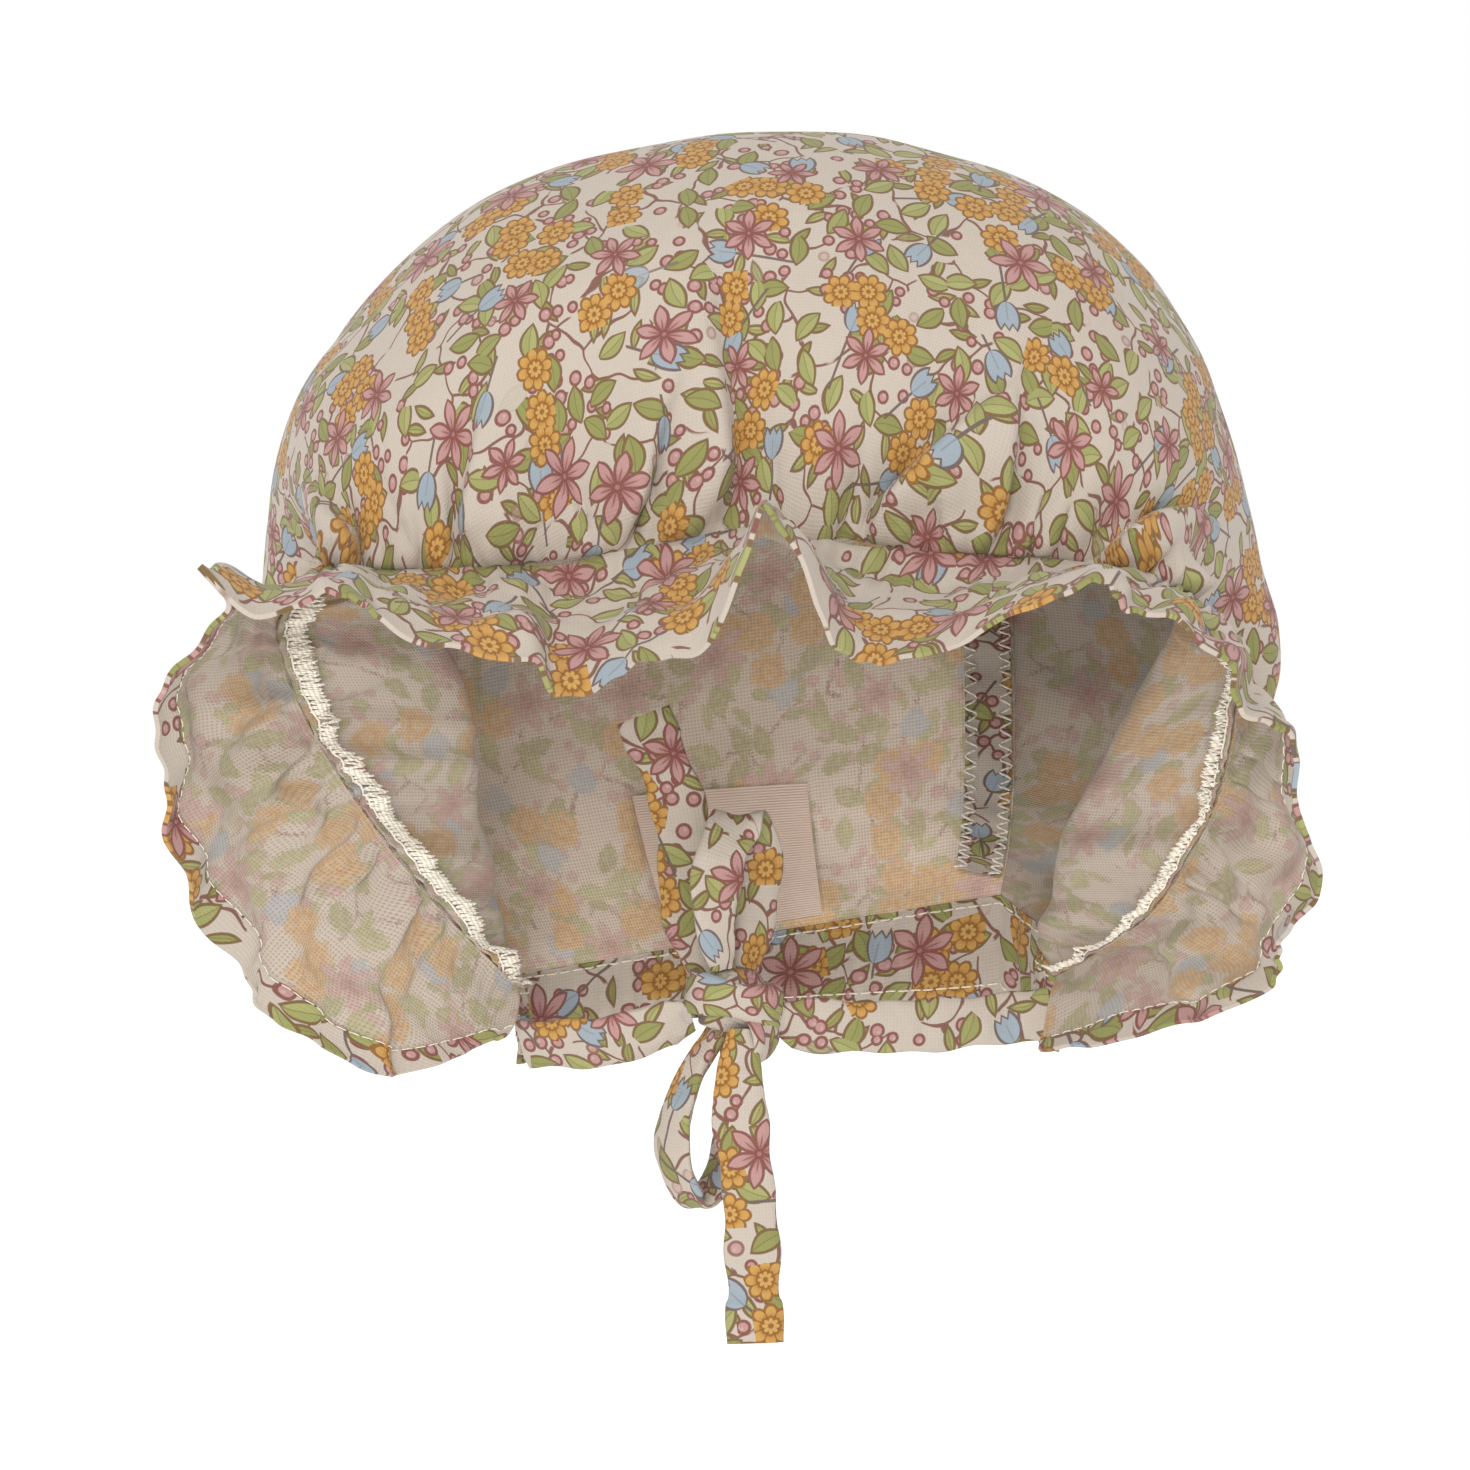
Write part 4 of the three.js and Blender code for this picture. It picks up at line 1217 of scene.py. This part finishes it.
def make_gather_allowance():
    u, v = grid_of(520, 8)
    per_mm = 1e-3 / np.linalg.norm(crown_surface(u, 1e-3 + 0 * v) - seam_point(u), axis=-1)
    reach = (0.5 + v * allowance_width(u)) * per_mm
    square = square_to(crown_surface, u, reach)
    spread = SEAM_LENGTH * u
    uneven = 0.9 * puckers(u, 4 + 0 * v, 30) + 0.35 * crumple(spread, v * BRIM_ALLOWANCE, 8, 31) * v
    grid = crown_cloth(u, reach) - square * (0.9 + 0.8 * v + uneven)[..., None]
    uv = np.stack([spread, PRINT_AT["gather"] + v * BRIM_ALLOWANCE], axis=-1)
    out = -normals_of(grid)
    lines = [
        overlock_line(grid[:, 2], grid[:, -1], out[:, 4], 0.5, LOOP_PITCH),
        overlock_line(grid[:, 4], grid[:, 7], out[:, 4], 0.7, 1.7),
        grid[:, 2] + out[:, 2] * 0.6,
    ]
    overlocked("brim_seam_edge", "brim_seam_allowance", grid, uv, REVERSE, lines)


def make_back_allowance_left():
    u, v = grid_of(260, 8)
    at = 0.02 + 0.465 * u
    reach = 1 - (0.7 + v * BACK_ALLOWANCE) / section_length(at)
    square = square_to(crown_surface, at, reach)
    spread, wide = 200 * u, v * BACK_ALLOWANCE
    grid = crown_surface(at, reach) - square * (1.9 + 0.3 * crumple(spread, wide, 12, 41))[..., None]
    uv = np.stack([spread, PRINT_AT["left"] + wide], axis=-1)
    out = normals_of(grid)[:, 6]
    lines = [overlock_line(grid[:, 5], grid[:, 8], side, 0.4, 2.2) for side in (-out, out)]
    overlocked("back_seam_edge_left", "back_allowance_left", grid, uv, FACE, lines)


def make_back_allowance_right():
    u, v = grid_of(260, 8)
    at = 0.515 + 0.465 * u
    tangent = back_point(at + 1e-3) - back_point(at - 1e-3)
    inward = unit(point(tangent[..., 2], np.zeros_like(u), -tangent[..., 0]))
    grid = back_point(at) + inward * (0.7 + v * BACK_ALLOWANCE)[..., None]
    spread, wide = 180 * u, v * BACK_ALLOWANCE
    grid[..., 1] -= 1.5 + 0.35 * crumple(spread, wide, 13, 51)
    uv = np.stack([spread, PRINT_AT["right"] + wide], axis=-1)
    out = normals_of(grid)
    out = np.where(out[..., 1:2] > 0, -out, out)
    lines = [overlock_line(grid[:, k], grid[:, k + 2], out[:, k + 1], 0.4, 2.4) for k in (0, 6)]
    overlocked("back_seam_edge_right", "back_allowance_right", grid, uv, FACE, lines)


def make_label():
    u, v = grid_of(40, 40)
    corner, other, top = (back_point(np.array(at)) for at in (0.0, 1.0, PANEL_LEFT))
    across = 0.48 + (u - 0.5) * LABEL_WIDTH / np.linalg.norm(corner - other)
    up = 0.02 + v * LABEL_HEIGHT / np.linalg.norm(corner - top)
    grid = panel_surface(across, up)
    grid[..., 1] -= 1.4 + 0.8 * arch(v) + 0.25 * crumple(LABEL_WIDTH * u, LABEL_HEIGHT * v, 18, 61)
    uv = np.stack([LABEL_WIDTH * u, LABEL_HEIGHT * v], axis=-1)
    piece = cloth_wall("ribbon_label", grid, uv, RIBBON, RIBBON)
    settle(piece, "label")


# The ties and their bow
KNOT_CENTRE = place(np.array(0.0), np.array(-1.0), np.array(0.0)) + [-4, -KNOT_FORWARD, -2]


def beside_knot(way, clearance):
    way = unit(np.array(way, float))
    radius = 1 / np.linalg.norm(way / (KNOT_SIZE / 2))
    return KNOT_CENTRE + way * (radius + clearance)


def smooth_path(points, steps):
    """A centripetal curve through points."""
    points = [np.array(p, float) for p in points]
    points = [2 * points[0] - points[1], *points, 2 * points[-1] - points[-2]]
    spans = len(points) - 3
    line = []
    for step in range(steps + 1):
        where = step / steps * spans
        k = min(int(where), spans - 1)
        t = where - k
        p0, p1, p2, p3 = points[k:k + 4]
        d0, d1, d2 = (max(np.linalg.norm(b - a), 1e-4) ** 0.5 for a, b in ((p0, p1), (p1, p2), (p2, p3)))
        leave = ((p1 - p0) / d0 - (p2 - p0) / (d0 + d1) + (p2 - p1) / d1) * d1
        arrive = ((p2 - p1) / d1 - (p3 - p1) / (d1 + d2) + (p3 - p2) / d2) * d1
        line.append(
            p1 * (2 * t**3 - 3 * t**2 + 1) + leave * (t**3 - 2 * t**2 + t)
            + p2 * (3 * t**2 - 2 * t**3) + arrive * (t**3 - t**2)
        )
    return np.array(line)


def widening(u):
    return TIE_GATHERED + (TIE_WIDTH - TIE_GATHERED) * np.clip(u / 0.28, 0, 1)


def both_ends(u):
    return widening(np.minimum(u, 1 - u))


STRAP_RING = 24  # points round a strap


def flat_section():
    """A strap's flattened section: each point's cosine and sine, and its place across and through."""
    angle = np.linspace(0, 2 * np.pi, STRAP_RING, endpoint=False)
    cos, sin = np.cos(angle), np.sin(angle)
    return cos, sin, np.sign(cos) * np.abs(cos) ** 0.75, np.sign(sin) * np.abs(sin) ** 0.8


def strap_relief(along, wide, seed, cuff):
    """Each point's place across a strap and through it, with its folds, gathers and folded end."""
    cos, sin, across, height = flat_section()
    across = across * wide
    height = height * TIE_WALL / 2 * (0.95 + 0.5 * (1 - wide / (TIE_WIDTH / 2)))
    folds = crumples(along[:, None], across, [(0.22, 9, seed), (0.1, 4, seed + 1)])
    gathers = 0.28 * np.sin(across * 2.6 + seed) * np.exp(-along / 9)[:, None]
    height = height + (folds * 0.8 + gathers) * sin
    folded = 1 / (1 + np.exp(-(along - along[-1] + cuff) / 0.18))[:, None] if cuff else 0.0
    puckered = 0.25 * np.sin(along / 1.9 + seed) + 0.2 * np.sin(along / 3.7 + 2 * seed)
    across = across * (1 + 0.09 * folded) + puckered[:, None] * cos * np.abs(cos) ** 2
    return across, height * (1 + 0.45 * folded)


def make_strap(name, node, points, broad, width_at, seed, steps=150, cuff=0.0):
    """A tie: a soft flat tube of cloth along a path, creased and crumpled; cuff is its folded end."""
    line = smooth_path(points, steps)
    way = unit(np.gradient(line, axis=0))
    side = unit(np.array(broad, float) - way * (way @ np.array(broad, float))[:, None])
    out = np.cross(way, side)
    along = lengths_along(line, 0)
    wide = width_at(np.linspace(0, 1, steps + 1))[:, None] / 2
    across, height = strap_relief(along, wide, seed, cuff)
    grid = line[:, None] + side[:, None] * across[..., None] + out[:, None] * height[..., None]
    section = np.stack(flat_section()[2:], -1) * [TIE_WIDTH / 2, 1]
    around = np.cumsum(np.linalg.norm(section - np.roll(section, 1, axis=0), axis=1))
    uv = np.stack(np.broadcast_arrays(around[None] + seed * 61.0, along[:, None] + seed * 37.0), axis=-1)
    piece = mesh_object(name, grid, closed_tube(steps, STRAP_RING), uv, [FACE])
    settle(piece, node)


def make_knot():
    """The knot's rounded body, with the folds of the straps that cross it."""
    rows, ring = 48, 72
    lat = np.linspace(-np.pi / 2, np.pi / 2, rows + 1)[:, None]
    lon = np.linspace(0, 2 * np.pi, ring, endpoint=False)[None]
    x = np.cos(lat) * np.cos(lon)
    z = np.cos(lat) * np.sin(lon)
    y = np.broadcast_to(np.sin(lat), x.shape)
    folds = 0.06 * np.abs(np.sin(1.5 * np.arctan2(z, x) + 0.4))
    wrap = z + 0.35 * x + 0.1 * np.sin(3 * x)
    ridges = 0.05 * np.sin(11 * wrap) * bell(wrap / 0.8) + 0.03 * np.sin(23 * wrap + 2 * x)
    band = 0.08 * bell((wrap - 0.05) / 0.42)
    swell = (1 - folds * (1 - y**4) + ridges + band) / 2
    grid = np.stack([x, y, z], -1) * swell[..., None] * KNOT_SIZE
    uv = np.stack([grid[..., 0] + 40 + 3 * y, grid[..., 2] + 15], axis=-1)
    faces = [face[::-1] for face in ring_faces(rows, ring)]
    piece = mesh_object("bow_knot_cloth", grid + KNOT_CENTRE, faces, uv, [FACE])
    settle(piece, "bow_knot")


def wrap_width(u):
    return 8 + np.sin(3 * np.pi * u)


def turn_width(u):
    return 8.6 + 0.8 * np.sin(7 * u)


def make_knot_wrap():
    """The strap that passes round the knot, drawn tight and creased, and its turn below."""
    points = [
        KNOT_CENTRE + KNOT_SIZE * [0.5 * np.cos(a), 0.52 * np.sin(a), 0] + [0, 0, 0.3 - 1.6 * np.cos(a)]
        for a in np.radians(np.linspace(115, 445, 15))
    ]
    make_strap("bow_knot_wrap", "bow_knot", points, (0.12, 0, 1), wrap_width, 13)
    turn_below = [(4, -2, -2), (5.6, -3.2, -4.5), (5.8, -2.6, -8.5), (3.6, -0.5, -10.5), (1.5, 1.5, -8)]
    points = [KNOT_CENTRE + step for step in turn_below]
    make_strap("bow_knot_turn", "bow_knot", points, (0.5, 0.85, 0.2), turn_width, 15)


def route(rows, overhang):
    reach = KNOT_SIZE[2] / 2 + overhang
    return [KNOT_CENTRE + np.array([a * TIE_WIDTH, d * TIE_WIDTH, up * reach]) for a, d, up in rows]


# Where the ties leave the corners of the face opening: inset is inward, forward and down from it
TIE_STARTS = {
    "left": {"corner": 0.0, "side": -1, "inset": (1.2, 0.5, 10.5), "broad": (0, 0.5, -0.85)},
    "right": {"corner": 1.0, "side": 1, "inset": (2.2, 1.0, 7), "broad": (0, 0.2, -1)},
}
CLEAR = TIE_WALL / 3


def make_tie(hand, seed):
    tie = TIE_STARTS[hand]
    side = tie["side"]
    start = neck_point(np.array(tie["corner"])) - np.array(tie["inset"]) * [side, 1, 1]
    end = beside_knot((side, 0, -0.35), 2 * SEAM_GAP)
    middle = (end + start) / 2 + [0, -2, -2]
    points = [end, end + [side * 5, 0, -1.5], middle, start]
    make_strap(f"tie_{hand}_cloth", f"tie_{hand}", points, tie["broad"], widening, seed)


def make_loop(name, leaves, way, comes_back, reach, broad, seed):
    """A loop of the bow: where it leaves the knot, the way it takes and where it comes back."""
    points = [beside_knot(*leaves), *route(way, reach), beside_knot(*comes_back)]
    make_strap(f"{name}_cloth", name, points, broad, both_ends, seed, steps=200)


def make_tail(name, leaves, way, reach, seed, cuff):
    """A tail of the bow: where it leaves the knot, the way it takes and how long its folded end is."""
    points = [beside_knot(leaves, CLEAR), *route(way, reach)]
    make_strap(f"{name}_cloth", name, points, (1, 0, 0), widening, seed, cuff=cuff)


def make_bow():
    way = [[-0.35, -0.6, 0.45], [-0.25, -0.7, 0.8], [0.1, -0.25, 1], [0.4, 0.3, 0.82], [0.4, 0.4, 0.45]]
    ends = ((-0.35, -0.45, 1), CLEAR), ((0.35, 0.55, 1), CLEAR)
    make_loop("bow_loop_upper", ends[0], way, ends[1], UPPER_LOOP, (0.93, 0.36, 0), 5)
    way = [[-0.9, 0.1, -0.42], [-1.15, 0.1, -0.75], [-0.7, 0.2, -1], [-0.15, 0.35, -0.8],
           [-0.05, 0.4, -0.45]]
    ends = ((-0.5, 0.1, -1), -2.5), ((0, 0.9, -1), -1.5)
    make_loop("bow_loop_lower", ends[0], way, ends[1], LOWER_LOOP, (0.6, -0.8, 0), 7)
    way = [[-0.9, 0.6, 0.35], [-1, 0.7, 0.65], [-1.7, 0.7, 1]]
    make_tail("bow_tail_short", (-0.9, 0.5, 0.7), way, SHORT_TAIL, 9, 6)
    way = [[0.1, -0.65, -0.3], [0.3, -0.55, -0.6], [0.4, -0.45, -1]]
    make_tail("bow_tail_long", (0.25, -0.9, -1), way, LONG_TAIL, 11, 8)


make_crown()
make_panel()
make_brim()
make_casing()
make_gather_allowance()
make_back_allowance_left()
make_back_allowance_right()
make_label()
make_knot()
make_knot_wrap()
make_tie("left", 1)
make_tie("right", 3)
make_bow()
